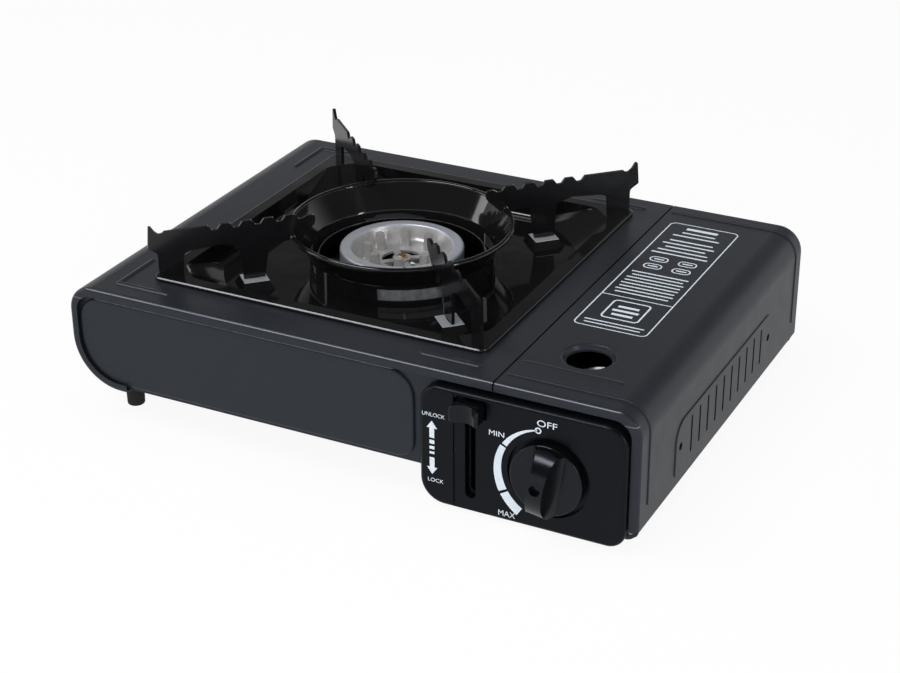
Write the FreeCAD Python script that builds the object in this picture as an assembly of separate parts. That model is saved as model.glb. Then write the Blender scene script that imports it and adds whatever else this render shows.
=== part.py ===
import FreeCAD, Part
import math
import os

# Tabletop cassette stove: a sheet steel case with a burner on the left and a hinged lid over the
# gas cartridge on the right. Millimetres, +Z up, the controls face -Y. The origin lies in the middle
# of the footprint, on the surface that the stove stands on.

Vector = FreeCAD.Vector
ALONG_X = Vector(1, 0, 0)
ALONG_Y = Vector(0, 1, 0)
ALONG_Z = Vector(0, 0, 1)

# Clearances
FIT = 0.3
RUNNING = 0.08
TOUCH = 0.01

# Case
CASE_LENGTH = 342.0
CASE_DEPTH = 252.0
CASE_TOP = 79.0
SHEET = 0.8
RIM = 5.0
EDGE_RADIUS = 2.5
SHOULDER_RADIUS = 15.0
LEFT_TURN = 30.0
LEFT_UNDERSIDE = 18.0
WRAP = 34.0
SEAM_FROM_RIGHT = 81.0
SEAM_GAP = 1.0
WALL_SINK = 4.0
WALL_FLANGE = 7.0
FLOOR = 5.0
STEP_FROM_PARTITION = 16.4
UPSTAND_SPLIT = 40.0
STEP_RADIUS = 6.0
PARTITION_GAP = 2.2
PARTITION_FLANGE = 9.0
UPSTAND = 10.0
RIGHT_WALL_TOP = 20.0
BEAD_WIDTH = 4.0
COVER_BEAD_INSET = (25.0, 14.0)
COVER_BEAD_ALONG = 32.0
COVER_BEAD_BACK = 33.0
PAD_PROUD = 2.0
PAD_EDGE = 1.5
PAD_FROM_LEFT = 5.0
PAD_TO_PANEL = 6.3
PAD_ABOVE_UNDERSIDE = 2.2
PAD_BELOW_TOP = 6.5
PAD_RADII = (28.0, 10.0, 16.0, 14.0)

# Controls, measured from the right end of the case
PANEL_PROUD = 4.0
PANEL_WALL = 2.5
PANEL_FROM_RIGHT = 6.0
PANEL_LENGTH = 115.0
PANEL_BOTTOM = 2.5
PANEL_TOP = 71.5
PANEL_RADII = (14.0, 10.0, 12.0, 11.0)
PANEL_SCREW_INSET = 10.0
KNOB_PROUD = 18.0
KNOB_FROM_RIGHT = 47.9
KNOB_Z = 34.6
KNOB_RADIUS = 20.0
KNOB_DISC_PROUD = 4.0
KNOB_RECESS_GAP = 2.75
KNOB_SINK = 2.8
GRIP_WIDTH = 8.8
GRIP_TILT = 8.0
GRIP_END_PROUD = 2.0
GRIP_FLANK_RADIUS = 20.0
KNOB_HOLE_RADIUS = 3.0
KNOB_HOLE_DEPTH = 3.0
KNOB_HOLE_RISE = 2.0
KNOB_WEB = 5.0
SPINDLE_RADIUS = 3.0
LEVER_FROM_RIGHT = 91.9
LEVER_Z = 62.5
LEVER_TRAVEL = 40.0
LEVER_CAP_WIDTH = 17.0
LEVER_CAP_HEIGHT = 10.0
LEVER_CAP_PROUD = 8.0
LEVER_NECK_WIDTH = 5.4
LEVER_NECK_HEIGHT = 6.0
LEVER_SCOOP_RADIUS = 9.0
LEVER_SCOOP_DEPTH = 3.2
CHANNEL_DEPTH = 0.8
HOOD_DEPTH = 4.2
HOOD_ABOVE_CAP = 2.2
HOOD_RADIUS = 4.5
SLOT_BOTTOM = 10.4
CARRIER_SHEET = 2.0
CARRIER_WIDTH = 12.0
CARRIER_ABOVE = 7.0
CARRIER_BELOW = 11.0
CAM_FROM_CARRIER = 0.9
LUG_HALF = 4.0
PIN_RADIUS = 1.5

# Cartridge lid
EMBOSS = 0.6
LID_LOWER_EDGE = 12.0
LID_SHOULDER = 14.5
HINGE_FROM_RIGHT = 6.0
HINGE_Z = 10.0
EAR_RADIUS = 4.0
HINGE_PIN_RADIUS = 1.5
VENT_COUNT = 10
VENT_PITCH = 12.2
VENT_WIDTH = 2.3
VENT_BOTTOM = 23.0
VENT_TOP = 45.0
FINGER_HOLE_RADIUS = 11.85
FINGER_DISH_RADIUS = 15.0
FINGER_DISH_DEPTH = 3.0
FINGER_FROM_FRONT = 47.9
FINGER_FROM_RIGHT = 49.1
VENT_FROM_FRONT = 71.6
VENT_HOLE_RADIUS = 2.25
VENT_HOLES_FROM_FRONT = (56.0, 194.5)
SIDE_PAD_FROM_FRONT = (49.5, 203.0)
SIDE_PAD_ABOVE_EDGE = 5.0
SIDE_PAD_TOP = 49.0
SIDE_PAD_RADII = (4.0, 12.0)
LID_BEAD_START = 2.8
LID_BEAD_END = 23.0
LID_SHORT_BEAD = 53.0
LID_BEADS_FROM_FRONT = (13.6, 241.5)
LID_SHORT_BEAD_FROM_FRONT = 28.0

# Pan support and tray, heights above the top cover
TRAY_FROM_LEFT = 141.8
TRAY_FROM_FRONT = 127.7
TRAY_HALF = 102.75
TRAY_CORNER = 6.0
TRAY_RISE = 2.3
BASIN_HALF = 95.4
BASIN_CORNER = 21.0
BASIN_TURN = 6.0
BASIN_DEPTH = 12.0
SCOOP_RADIUS = 104.0
SCOOP_SLOPE = 1.5
COLLAR_CLEARANCE = 1.0
COLLAR_LEAN = 4.7
COLLAR_EDGE_DEPTH = 4.0
BUMP_LENGTH = 14.0
BUMP_WIDTH = 12.0
BUMP_SPREAD = 3.0
BUMP_HEIGHT = 5.0
ARM_SHEET = 1.8
ARM_LAND = 28.3
ARM_INNER_END = 50.3
ARM_INNER_DROP = 1.6
ARM_HOOK_HEIGHT = 8.0
NOTCH_COUNT = 5
NOTCH_PITCH = 12.3
NOTCH_DEPTH = 3.0
NOTCH_OUTERMOST = 108.3
NOTCH_TOP_HALF = 3.6
NOTCH_FLOOR_HALF = 1.3
INNER_LEG = 80.9
INNER_LEG_OUTSIDE = 93.2
OUTER_LEG = 126.8
OUTER_LEG_OUTSIDE = 140.5
# Outlines of an arm's underside and outer end: distance from the burner, height, radius
ARM_UNDERSIDE = ((94.2, 13.0, 3.0), (104.0, 16.2, 6.0), (122.0, 15.0, 8.0), (126.3, 13.7, 3.0))
ARM_END = ((140.7, 15.7, 3.0), (146.0, 19.2, 1.0), (145.0, 32.4, 0.6), (143.5, 32.0, 0.6),
           (141.5, 28.8, 1.0), (139.5, 27.1, 0.8), (137.8, 27.1, 0.8), (136.2, 28.3, 0.8))
TAB_WIDTH = 6.0
TAB_LENGTH = 4.0
RING_RIM_RADIUS = 63.5
RING_RIM_RISE = 13.4
RING_ROLL = 1.5
RING_SKIRT_RADIUS = 53.4
RING_SLOT_ANGLE = 40.0
RING_SLOT_START = -77.0
RING_SLOT_DEPTHS = (3.0, 10.0)
RING_TAB_START = -90.0
RING_TAB_WIDTH = 6.0
RING_TAB_REACH = 2.2
RING_TAB_DEPTH = 6.0

# Burner
HEAD_RADIUS = 35.8
HEAD_RING_INSIDE = 29.6
HEAD_TOP = 79.3
HEAD_BOTTOM = 69.0
HEAD_FLOOR = 1.5
HEAD_OPENING = 11.9
PEG_COUNT = 8
PEG_CIRCLE = 20.0
PEG_FOOT = 3.4
PEG_TIP = 2.5
PEG_HEIGHT = 9.5
HUB_RADIUS = 5.5
BRIDGE_COUNT = 4
BRIDGE_WIDTH = 4.0
DISH_SLOPE = 4.5
PORT_COUNT = 32
PORT_WIDTH = 1.2
PORT_HEIGHT = 2.4
PORT_LENGTH = 5.0
CUP_WALL = 1.0
MIX_RADIUS = 8.0
MIX_WALL = 1.0
MIX_Z = 42.0
MIX_FROM_FRONT = 40.0
MIX_MOUTH_FROM_RIGHT = 79.0
MIX_LONG_BEND = 45.0
MIX_RISE_BEND = 18.0
BELL_LENGTH = 8.0
BELL_FLARE = 2.5
BRACKET_SPAN = 50.0
BRACKET_FOOT = 14.0
BRACKET_TOP = 60.8
BRACKET_AHEAD = 42.0
BRACKET_BEHIND = 16.0
HEAT_PLATE = 1.2
HEAT_PLATE_WIDTH = 24.0
HEAT_LOW = 20.0
HEAT_DROP_FROM_STEP = 3.8
HEAT_FROM_TUBE = 8.0
SADDLE_LOW = 9.2
ELECTRODE_ANGLE = -60.0
ELECTRODE_RADIUS = 0.9
ELECTRODE_CIRCLE = 41.0
ELECTRODE_REACH = 5.0
INSULATOR_RADIUS = 2.8
INSULATOR_BELOW = 4.0
WIRE_RADIUS = 1.25
WIRE_HIGH = 72.0
WIRE_LOW = 53.5
WIRE_LOOP = 4.3
WIRE_ASIDE = 18.0

# Gas side
SOCKET_FROM_RIGHT = 42.0
SOCKET_Z = 41.5
REGULATOR_RADIUS = 20.0
REGULATOR_FROM_FRONT = 17.0
REGULATOR_LENGTH = 20.0
SOCKET_NECK_RADIUS = 14.0
SOCKET_NECK_LENGTH = 15.0
SOCKET_BORE = 6.0
SOCKET_DEPTH = 10.0
NOZZLE_RADIUS = 4.0
NOZZLE_TIP = 1.4
VALVE_BOSS_RADIUS = 8.0
OUTLET_RADIUS = 7.0
OUTLET_REACH = 8.0
CHAMBER_RADIUS = 9.0
DIAPHRAGM_RADIUS = 15.0
DIAPHRAGM_THICKNESS = 11.0
DIAPHRAGM_FROM_FRONT = 32.0
FOOT_HALF_WIDTH = 12.0
COLLAR_DEPTH = 10.5
COLLAR_BEHIND_MOUTH = 4.0
CARTRIDGE_RADIUS = 34.0
COLLAR_RIM_RADIUS = 27.0
SLIDE_TRAVEL = 8.0
CAM_SLOT_WIDTH = 3.2
CAM_PLATE = 2.0
CAM_DEPTH = 15.5
SLIDE_BAR_WIDTH = 8.0
SLIDE_BAR_HEIGHT = 8.0
SLIDE_BAR_LIFT = 2.2
PUSHER_SHEET = 1.5
PUSHER_HEIGHT = 60.0
PUSHER_TURN = 14.0
SLIDE_FROM_REAR = 2.2
GUIDE_WALL = 1.5
GUIDE_LENGTH = 12.0
GUIDES_FROM_ENDS = (64.0, 60.0)
IGNITER_RADIUS = 5.5
IGNITER_LENGTH = 22.0
PLUNGER_RADIUS = 1.5
PLUNGER_LENGTH_INSIDE = 10.0
IGNITER_FROM_CAM = 2.0
CAM_LOW = 8.0
CAM_RISE = 5.0
CAM_TURN = 120.0
CAM_THICKNESS = 2.5

# Feet and screws
FOOT_RADIUS = 5.5
FOOT_FROM_SIDE = 24.6
FOOT_FROM_FRONT = 21.1
SCREW_RADIUS = 1.5
SCREW_HEAD_RADIUS = 2.8
SCREW_HEAD = 1.6

# Places worked out from the sizes above
LEFT = -CASE_LENGTH / 2
RIGHT = CASE_LENGTH / 2
FRONT = -(CASE_DEPTH - PANEL_PROUD - KNOB_PROUD) / 2
BACK = FRONT + CASE_DEPTH
MIDDLE_Y = (FRONT + BACK) / 2
SEAM_X = RIGHT - SEAM_FROM_RIGHT
WALL_OUTSIDE = FRONT + WALL_SINK
WALL_INSIDE = WALL_OUTSIDE + SHEET
REAR_INSIDE = BACK - WALL_SINK - SHEET
PANEL_FACE = FRONT - PANEL_PROUD
BASE_TOP = CASE_TOP - SHEET - FIT
BASE_LEFT = LEFT + SHEET + FIT
BASE_UNDERSIDE = LEFT_UNDERSIDE + SHEET + FIT
LID_SIDE = RIGHT - EMBOSS
BASE_RIGHT = LID_SIDE - SHEET - FIT - SHEET
FLOOR_TOP = FLOOR + SHEET
LEFT_FLOOR_TOP = BASE_UNDERSIDE + SHEET
KNOB_X = RIGHT - KNOB_FROM_RIGHT
LEVER_X = RIGHT - LEVER_FROM_RIGHT
HINGE_X = RIGHT - HINGE_FROM_RIGHT
TRAY_X = LEFT + TRAY_FROM_LEFT
TRAY_Y = FRONT + TRAY_FROM_FRONT
TRAY_TOP = CASE_TOP + TRAY_RISE
BASIN_FLOOR = CASE_TOP - BASIN_DEPTH
PARTITION_X = TRAY_X + BASIN_HALF + PARTITION_GAP
STEP_X = PARTITION_X - STEP_FROM_PARTITION
SOCKET_X = RIGHT - SOCKET_FROM_RIGHT
MIX_Y = FRONT + MIX_FROM_FRONT
MIX_MOUTH_X = RIGHT - MIX_MOUTH_FROM_RIGHT
CAM_X = LEVER_X + CARRIER_WIDTH / 2 + CAM_FROM_CARRIER
COLLAR_FOOT = RING_SKIRT_RADIUS - SHEET / 2 - COLLAR_CLEARANCE
COLLAR_EDGE = COLLAR_FOOT - COLLAR_LEAN
SLOT_HALF = LEVER_NECK_WIDTH / 2 + FIT
IGNITER_Y = WALL_INSIDE + FIT + IGNITER_RADIUS


def heading(start, end):
    """Unit direction from one outline point to another."""
    length = math.hypot(end[0] - start[0], end[1] - start[1])
    return (end[0] - start[0]) / length, (end[1] - start[1]) / length


def outline(corners, place):
    """Face inside a closed outline of (u, v, radius) corners, each rounded by its own radius."""
    edges = []
    joints = []
    for index, (u, v, radius) in enumerate(corners):
        back = heading(corners[index], corners[index - 1])
        ahead = heading(corners[index], corners[(index + 1) % len(corners)])
        half = math.acos(max(-1.0, min(1.0, back[0] * ahead[0] + back[1] * ahead[1]))) / 2
        if radius < TOUCH or half > math.pi / 2 - 0.001:
            joints.append(((u, v), None, (u, v)))
            continue
        reach = radius / math.tan(half)
        bisector = heading((0, 0), (back[0] + ahead[0], back[1] + ahead[1]))
        sagitta = radius / math.sin(half) - radius
        start = (u + back[0] * reach, v + back[1] * reach)
        middle = (u + bisector[0] * sagitta, v + bisector[1] * sagitta)
        end = (u + ahead[0] * reach, v + ahead[1] * reach)
        joints.append((start, middle, end))
    for index, (start, middle, end) in enumerate(joints):
        if middle is not None:
            edges.append(Part.Arc(place(*start), place(*middle), place(*end)).toShape())
        following = joints[(index + 1) % len(joints)][0]
        if math.dist(end, following) > TOUCH:
            edges.append(Part.makeLine(place(*end), place(*following)))
    return Part.Face(Part.Wire(edges))


def inset(corners, gap):
    """The same outline moved inwards by gap, or outwards where gap is negative."""
    moved = []
    for index, (u, v, radius) in enumerate(corners):
        into = heading(corners[index - 1], corners[index])
        out = heading(corners[index], corners[(index + 1) % len(corners)])
        scale = gap / (1 + into[0] * out[0] + into[1] * out[1])
        turn = math.copysign(gap, into[0] * out[1] - into[1] * out[0])
        if gap < 0:
            turn = -turn
        rounded = max(radius - turn, 0.0) if radius > 0 else 0.0
        moved.append((u - (into[1] + out[1]) * scale, v + (into[0] + out[0]) * scale, rounded))
    return moved


def strip(path, thickness):
    """Closed outline of a sheet bent along an open path of (u, v, middle radius) points."""
    half = thickness / 2
    left = []
    right = []
    for index, (u, v, radius) in enumerate(path):
        into = heading(path[index - 1], path[index]) if index > 0 else heading(path[0], path[1])
        out = heading(path[index], path[index + 1]) if index < len(path) - 1 else into
        scale = half / (1 + into[0] * out[0] + into[1] * out[1])
        side_u = -(into[1] + out[1]) * scale
        side_v = (into[0] + out[0]) * scale
        turn = math.copysign(half, into[0] * out[1] - into[1] * out[0])
        left.append((u + side_u, v + side_v, radius - turn if radius > 0 else 0.0))
        right.append((u - side_u, v - side_v, radius + turn if radius > 0 else 0.0))
    return right + left[::-1]


def rectangle(low_u, high_u, low_v, high_v, radius=0.0):
    """Corners of a rectangle with four equal corner radii."""
    return [(low_u, low_v, radius), (high_u, low_v, radius), (high_u, high_v, radius),
            (low_u, high_v, radius)]


def square(half, radius):
    """Corners of the tray's rounded square, half its width each way from the burner's centre."""
    return rectangle(TRAY_X - half, TRAY_X + half, TRAY_Y - half, TRAY_Y + half, radius)


def prism_x(corners, start, end):
    """Body between two X planes from a (y, z) outline."""
    return outline(corners, lambda u, v: Vector(start, u, v)).extrude(ALONG_X * (end - start))


def prism_y(corners, start, end):
    """Body between two Y planes from an (x, z) outline."""
    return outline(corners, lambda u, v: Vector(u, start, v)).extrude(ALONG_Y * (end - start))


def prism_z(corners, start, end):
    """Body between two Z planes from an (x, y) outline."""
    return outline(corners, lambda u, v: Vector(u, v, start)).extrude(ALONG_Z * (end - start))


def turned(corners, origin, axis, radial, angle=360):
    """Body of revolution from corners given as (distance from the axis, distance along it, radius)."""
    face = outline(corners, lambda u, v: origin + radial * u + axis * v)
    return face.revolve(origin, axis, angle)


def rod(radius, start, end):
    """Round bar between two points."""
    return Part.makeCylinder(radius, (end - start).Length, start, end - start)


def box(low_x, high_x, low_y, high_y, low_z, high_z):
    """Plain block between three pairs of planes."""
    return Part.makeBox(high_x - low_x, high_y - low_y, high_z - low_z, Vector(low_x, low_y, low_z))


def bent_wire(points):
    """Wire of straight runs joined by tangent arcs, from (point, bend radius) pairs."""
    edges = []
    start = points[0][0]
    for index in range(1, len(points) - 1):
        corner, radius = points[index]
        back = (points[index - 1][0] - corner).normalize()
        ahead = (points[index + 1][0] - corner).normalize()
        half = back.getAngle(ahead) / 2
        reach = radius / math.tan(half)
        inwards = (back + ahead).normalize()
        middle = corner + inwards * (radius / math.sin(half) - radius)
        if (corner + back * reach - start).Length > TOUCH:
            edges.append(Part.makeLine(start, corner + back * reach))
        edges.append(Part.Arc(corner + back * reach, middle, corner + ahead * reach).toShape())
        start = corner + ahead * reach
    edges.append(Part.makeLine(start, points[-1][0]))
    return Part.Wire(edges)


def bent_rod(points, radius):
    """Round bar that follows a bent wire."""
    direction = points[1][0] - points[0][0]
    section = Part.Wire([Part.makeCircle(radius, points[0][0], direction)])
    return bent_wire(points).makePipeShell([section], True, False)


def edges_at(solid, axis, level):
    """Edges that lie in the plane where the given coordinate (0, 1 or 2) equals level."""
    found = []
    for edge in solid.Edges:
        bounds = edge.BoundBox
        low = (bounds.XMin, bounds.YMin, bounds.ZMin)[axis]
        high = (bounds.XMax, bounds.YMax, bounds.ZMax)[axis]
        if abs(low - level) < TOUCH and abs(high - level) < TOUCH:
            found.append(edge)
    return found


def rear_copy(shape):
    """The same piece mirrored to the other end of the case's depth."""
    return shape.mirror(Vector(0, MIDDLE_Y, 0), ALONG_Y)


def bead(start, end, outwards, proud):
    """Pressed ridge between two points of a sheet's outer face, with round ends."""
    radius = ((BEAD_WIDTH / 2) ** 2 + proud ** 2) / (2 * proud)
    sink = outwards * (proud - radius)
    along = end - start
    ridge = rod(radius, start + sink, end + sink)
    for point in (start, end):
        ridge = ridge.fuse(Part.makeSphere(radius, point + sink))
    across = along.cross(outwards).normalize() * BEAD_WIDTH
    reach = along * (BEAD_WIDTH / along.Length)
    floor = [start - reach + across, end + reach + across, end + reach - across, start - reach - across]
    slab = Part.Face(Part.makePolygon(floor + [floor[0]])).extrude(outwards * (proud + SHEET))
    return ridge.common(slab.translated(outwards * -SHEET / 2))


def folded_shell(corners, free_x):
    """Thin sheet hood over an (x, z) outline from the front to the back of the case, with rounded
    front and back edges apart from the one at free_x, where the sheet ends."""
    skins = []
    for gap, radius in ((0.0, EDGE_RADIUS), (SHEET, EDGE_RADIUS - SHEET)):
        body = prism_y(inset(corners, gap), FRONT + gap, BACK - gap)
        edges = edges_at(body, 1, FRONT + gap) + edges_at(body, 1, BACK - gap)
        kept = [edge for edge in edges if min(abs(v.X - free_x) for v in edge.Vertexes) > SHEET + TOUCH
                or edge.BoundBox.XLength > SHEET]
        skins.append(body.makeFillet(radius, kept))
    return skins[0].cut(skins[1])


def case_screw_places():
    """Points under the left side where the cover is screwed to the base."""
    x = LEFT + WRAP - SCREW_HEAD_RADIUS
    return [Vector(x, FRONT + 60, LEFT_UNDERSIDE), Vector(x, BACK - 60, LEFT_UNDERSIDE)]


def panel_screw_places():
    """Points on the base's front wall where the control panel is screwed on from inside."""
    left = RIGHT - PANEL_FROM_RIGHT - PANEL_LENGTH + PANEL_SCREW_INSET
    right = RIGHT - PANEL_FROM_RIGHT - PANEL_SCREW_INSET
    low = PANEL_BOTTOM + PANEL_SCREW_INSET
    high = PANEL_TOP - PANEL_SCREW_INSET
    return [Vector(x, WALL_INSIDE, z) for x in (left, right) for z in (low, high)]


def seam_notches(seam):
    """Gaps in a seam flange where it crosses the flanges of the base's front and back walls."""
    reach = SHEET + FIT
    notch = box(seam - reach, seam + reach, WALL_OUTSIDE - FIT, WALL_OUTSIDE + WALL_FLANGE + FIT,
                CASE_TOP - RIM - 1, CASE_TOP - SHEET)
    return [notch, rear_copy(notch)]


def cover_corners():
    """Front view of the cover, closed at the seam and along the underside."""
    seam = SEAM_X - SEAM_GAP / 2
    return [(LEFT, CASE_TOP, SHOULDER_RADIUS), (LEFT, LEFT_UNDERSIDE, LEFT_TURN),
            (seam, LEFT_UNDERSIDE, 0), (seam, CASE_TOP, 0)]


def top_cover():
    """Folded cover with a wrapped left side, a rimmed front and back and the hole for the tray."""
    corners = cover_corners()
    seam = corners[-1][0]
    cover = folded_shell(corners, seam)
    cover = cover.cut(prism_y(inset(corners, RIM), FRONT - 1, BACK + 1))
    cover = cover.cut(box(LEFT + WRAP, seam + 1, FRONT - 1, BACK + 1, LEFT_UNDERSIDE - 1, CASE_TOP - RIM))
    hole = prism_z(square(BASIN_HALF + 1, BASIN_CORNER + 1), CASE_TOP - 2 * SHEET, CASE_TOP + 1)
    cover = cover.cut([hole] + seam_notches(seam))
    corner = Vector(LEFT + COVER_BEAD_INSET[0], FRONT + COVER_BEAD_INSET[1], CASE_TOP)
    for end in (corner + ALONG_X * COVER_BEAD_ALONG, corner + ALONG_Y * COVER_BEAD_BACK):
        ridge = bead(corner, end, ALONG_Z, SHEET)
        cover = cover.fuse([ridge, rear_copy(ridge)])
    far = Vector(seam - COVER_BEAD_INSET[1], corner.y, CASE_TOP)
    ridge = bead(far - ALONG_X * COVER_BEAD_ALONG, far, ALONG_Z, SHEET)
    cover = cover.fuse([ridge, rear_copy(ridge)])
    for place in case_screw_places():
        cover = cover.cut(rod(SCREW_RADIUS, place - ALONG_Z, place + ALONG_Z * 2))
    return cover.removeSplitter()


def base_corners():
    """Front view of the base: shallow under the burner, deep under the cartridge."""
    return [(BASE_LEFT, BASE_UNDERSIDE, LEFT_TURN - SHEET - FIT), (STEP_X, BASE_UNDERSIDE, STEP_RADIUS),
            (STEP_X, FLOOR, STEP_RADIUS), (BASE_RIGHT, FLOOR, STEP_RADIUS),
            (BASE_RIGHT, BASE_TOP, LID_SHOULDER - SHEET - FIT),
            (BASE_LEFT, BASE_TOP, SHOULDER_RADIUS - SHEET - FIT)]


def front_pad():
    """Raised field of the front wall, left of the controls."""
    left = LEFT + PAD_FROM_LEFT
    right = RIGHT - PANEL_FROM_RIGHT - PANEL_LENGTH - PAD_TO_PANEL
    low = BASE_UNDERSIDE + PAD_ABOVE_UNDERSIDE
    high = CASE_TOP - PAD_BELOW_TOP
    places = ((left, low), (right, low), (right, high), (left, high))
    return [(u, v, radius) for (u, v), radius in zip(places, PAD_RADII)]


def base_case():
    """Lower case: floor, front and back walls, with a low upstand at each side."""
    corners = base_corners()
    base = prism_y(corners, WALL_OUTSIDE, BACK - WALL_SINK)
    base = base.cut(prism_y(inset(corners, SHEET), WALL_INSIDE, REAR_INSIDE))
    flange_front = WALL_OUTSIDE + WALL_FLANGE
    flange_back = BACK - WALL_SINK - WALL_FLANGE
    split = STEP_X + UPSTAND_SPLIT
    open_top = box(LEFT, split, flange_front, flange_back, LEFT_FLOOR_TOP + UPSTAND, CASE_TOP)
    open_side = box(split, RIGHT, flange_front, flange_back, RIGHT_WALL_TOP, CASE_TOP)
    base = base.cut([open_top, open_side])
    pad_face = WALL_OUTSIDE - PAD_PROUD
    pad = prism_y(front_pad(), pad_face, WALL_OUTSIDE + SHEET / 2)
    pad = pad.makeFillet(PAD_EDGE, edges_at(pad, 1, pad_face))
    hollow = prism_y(inset(front_pad(), SHEET), pad_face + SHEET, WALL_INSIDE + TOUCH)
    base = base.fuse(pad).cut(hollow)
    slot_half = SLOT_HALF + FIT
    slot_high = LEVER_Z + LEVER_NECK_HEIGHT
    lever_slot = rectangle(LEVER_X - slot_half, LEVER_X + slot_half, SLOT_BOTTOM, slot_high,
                           slot_half - TOUCH)
    base = base.cut(prism_y(lever_slot, WALL_OUTSIDE - 1, WALL_INSIDE + 1))
    knob_axis = Vector(KNOB_X, WALL_OUTSIDE - 1, KNOB_Z)
    base = base.cut(rod(SPINDLE_RADIUS + 1, knob_axis, knob_axis + ALONG_Y * 3))
    ear_slot = box(HINGE_X - EAR_RADIUS - 2, RIGHT, WALL_INSIDE, WALL_INSIDE + 2 * FIT + SHEET + 1.2,
                   0, RIGHT_WALL_TOP + 2)
    base = base.cut([ear_slot, rear_copy(ear_slot)])
    pin_hole = rod(HINGE_PIN_RADIUS, Vector(HINGE_X, WALL_OUTSIDE - 1, HINGE_Z),
                   Vector(HINGE_X, WALL_INSIDE + 1, HINGE_Z))
    base = base.cut([pin_hole, rear_copy(pin_hole)])
    for place in case_screw_places():
        base = base.cut(rod(SCREW_RADIUS, place, place + ALONG_Z * 3))
    for place in panel_screw_places():
        base = base.cut(rod(SCREW_RADIUS, place - ALONG_Y * 2, place + ALONG_Y))
    return base.removeSplitter()


def partition_plate():
    """Upright sheet between the burner and the cartridge bay, with holes for what passes through it."""
    high = BASE_TOP - SHEET - FIT - SHEET / 2
    low = FLOOR_TOP + SHEET / 2
    edge = PARTITION_X + PARTITION_FLANGE
    path = [(edge, high, 0), (PARTITION_X, high, 1.5 * SHEET), (PARTITION_X, low, 1.5 * SHEET),
            (edge, low, 0)]
    plate = prism_y(strip(path, SHEET), WALL_INSIDE + FIT, REAR_INSIDE - FIT)
    left = PARTITION_X - 2
    right = PARTITION_X + 2
    tube_hole = rod(MIX_RADIUS + FIT, Vector(left, MIX_Y, MIX_Z), Vector(right, MIX_Y, MIX_Z))
    wire_hole = rod(WIRE_RADIUS + 1, Vector(left, IGNITER_Y, WIRE_HIGH), Vector(right, IGNITER_Y, WIRE_HIGH))
    half = HEAT_PLATE_WIDTH / 2 + FIT
    plate_slot = box(left, right, TRAY_Y - half, TRAY_Y + half, HEAT_LOW - 1, HEAT_LOW + 1)
    return plate.cut([tube_hole, wire_hole, plate_slot])


def heat_plate():
    """Aluminium strip that carries heat from the burner to a saddle under the cartridge."""
    high = BRACKET_TOP + HEAT_PLATE / 2
    drop = STEP_X + HEAT_DROP_FROM_STEP
    path = [(TRAY_X + MIX_RADIUS + HEAT_FROM_TUBE, high, 0), (drop, high, 3 * HEAT_PLATE),
            (drop, HEAT_LOW, 3 * HEAT_PLATE), (SOCKET_X - CARTRIDGE_RADIUS + 3, HEAT_LOW, 4 * HEAT_PLATE),
            (SOCKET_X - CARTRIDGE_RADIUS / 2, SADDLE_LOW, 0)]
    return prism_y(strip(path, HEAT_PLATE), TRAY_Y - HEAT_PLATE_WIDTH / 2, TRAY_Y + HEAT_PLATE_WIDTH / 2)


def lid_corners():
    """Front view of the lid, drawn deeper than it is and cut at its lower edge."""
    seam = SEAM_X + SEAM_GAP / 2
    return [(seam, CASE_TOP, 0), (seam, -20, 0), (LID_SIDE, -20, 0), (LID_SIDE, CASE_TOP, LID_SHOULDER)]


def lid_ear():
    """Ear on the lid's side that turns on the hinge pin, inside the base's front wall."""
    arm = [(HINGE_X, HINGE_Z - EAR_RADIUS + 2 * SHEET, 0), (LID_SIDE - SHEET / 2, LID_LOWER_EDGE + 0.5, 0),
           (LID_SIDE - SHEET / 2, LID_LOWER_EDGE + 8, 0), (HINGE_X, HINGE_Z + EAR_RADIUS, 0)]
    near = WALL_INSIDE + FIT
    ear = prism_y(arm, near, near + SHEET)
    ear = ear.fuse(rod(EAR_RADIUS, Vector(HINGE_X, near, HINGE_Z), Vector(HINGE_X, near + SHEET, HINGE_Z)))
    bore = rod(HINGE_PIN_RADIUS + RUNNING, Vector(HINGE_X, near - 1, HINGE_Z),
               Vector(HINGE_X, near + 2, HINGE_Z))
    return ear.cut(bore)


def side_pad():
    """Raised field on the lid's side, around the vents."""
    front = FRONT + SIDE_PAD_FROM_FRONT[0]
    rear = FRONT + SIDE_PAD_FROM_FRONT[1]
    low = LID_LOWER_EDGE + SIDE_PAD_ABOVE_EDGE
    return [(front, low, SIDE_PAD_RADII[0]), (rear, low, SIDE_PAD_RADII[0]),
            (rear, SIDE_PAD_TOP, SIDE_PAD_RADII[1]), (front, SIDE_PAD_TOP, SIDE_PAD_RADII[1])]


def lid_bead(y):
    """Pressed band that runs across the lid's top, round its shoulder and down its side."""
    corners = lid_corners()
    near = y - BEAD_WIDTH / 2
    far = y + BEAD_WIDTH / 2
    band = prism_y(inset(corners, -EMBOSS), near, far).cut(prism_y(inset(corners, SHEET / 2), near, far))
    band = band.common(box(SEAM_X + LID_BEAD_START, RIGHT + 1, near, far, LID_BEAD_END, CASE_TOP + 1))
    long_edges = [edge for edge in edges_at(band, 1, near) + edges_at(band, 1, far)
                  if edge.BoundBox.ZMax > CASE_TOP + TOUCH or edge.BoundBox.XMax > LID_SIDE + TOUCH]
    return band.makeFillet(EMBOSS - 0.05, long_edges)


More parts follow.
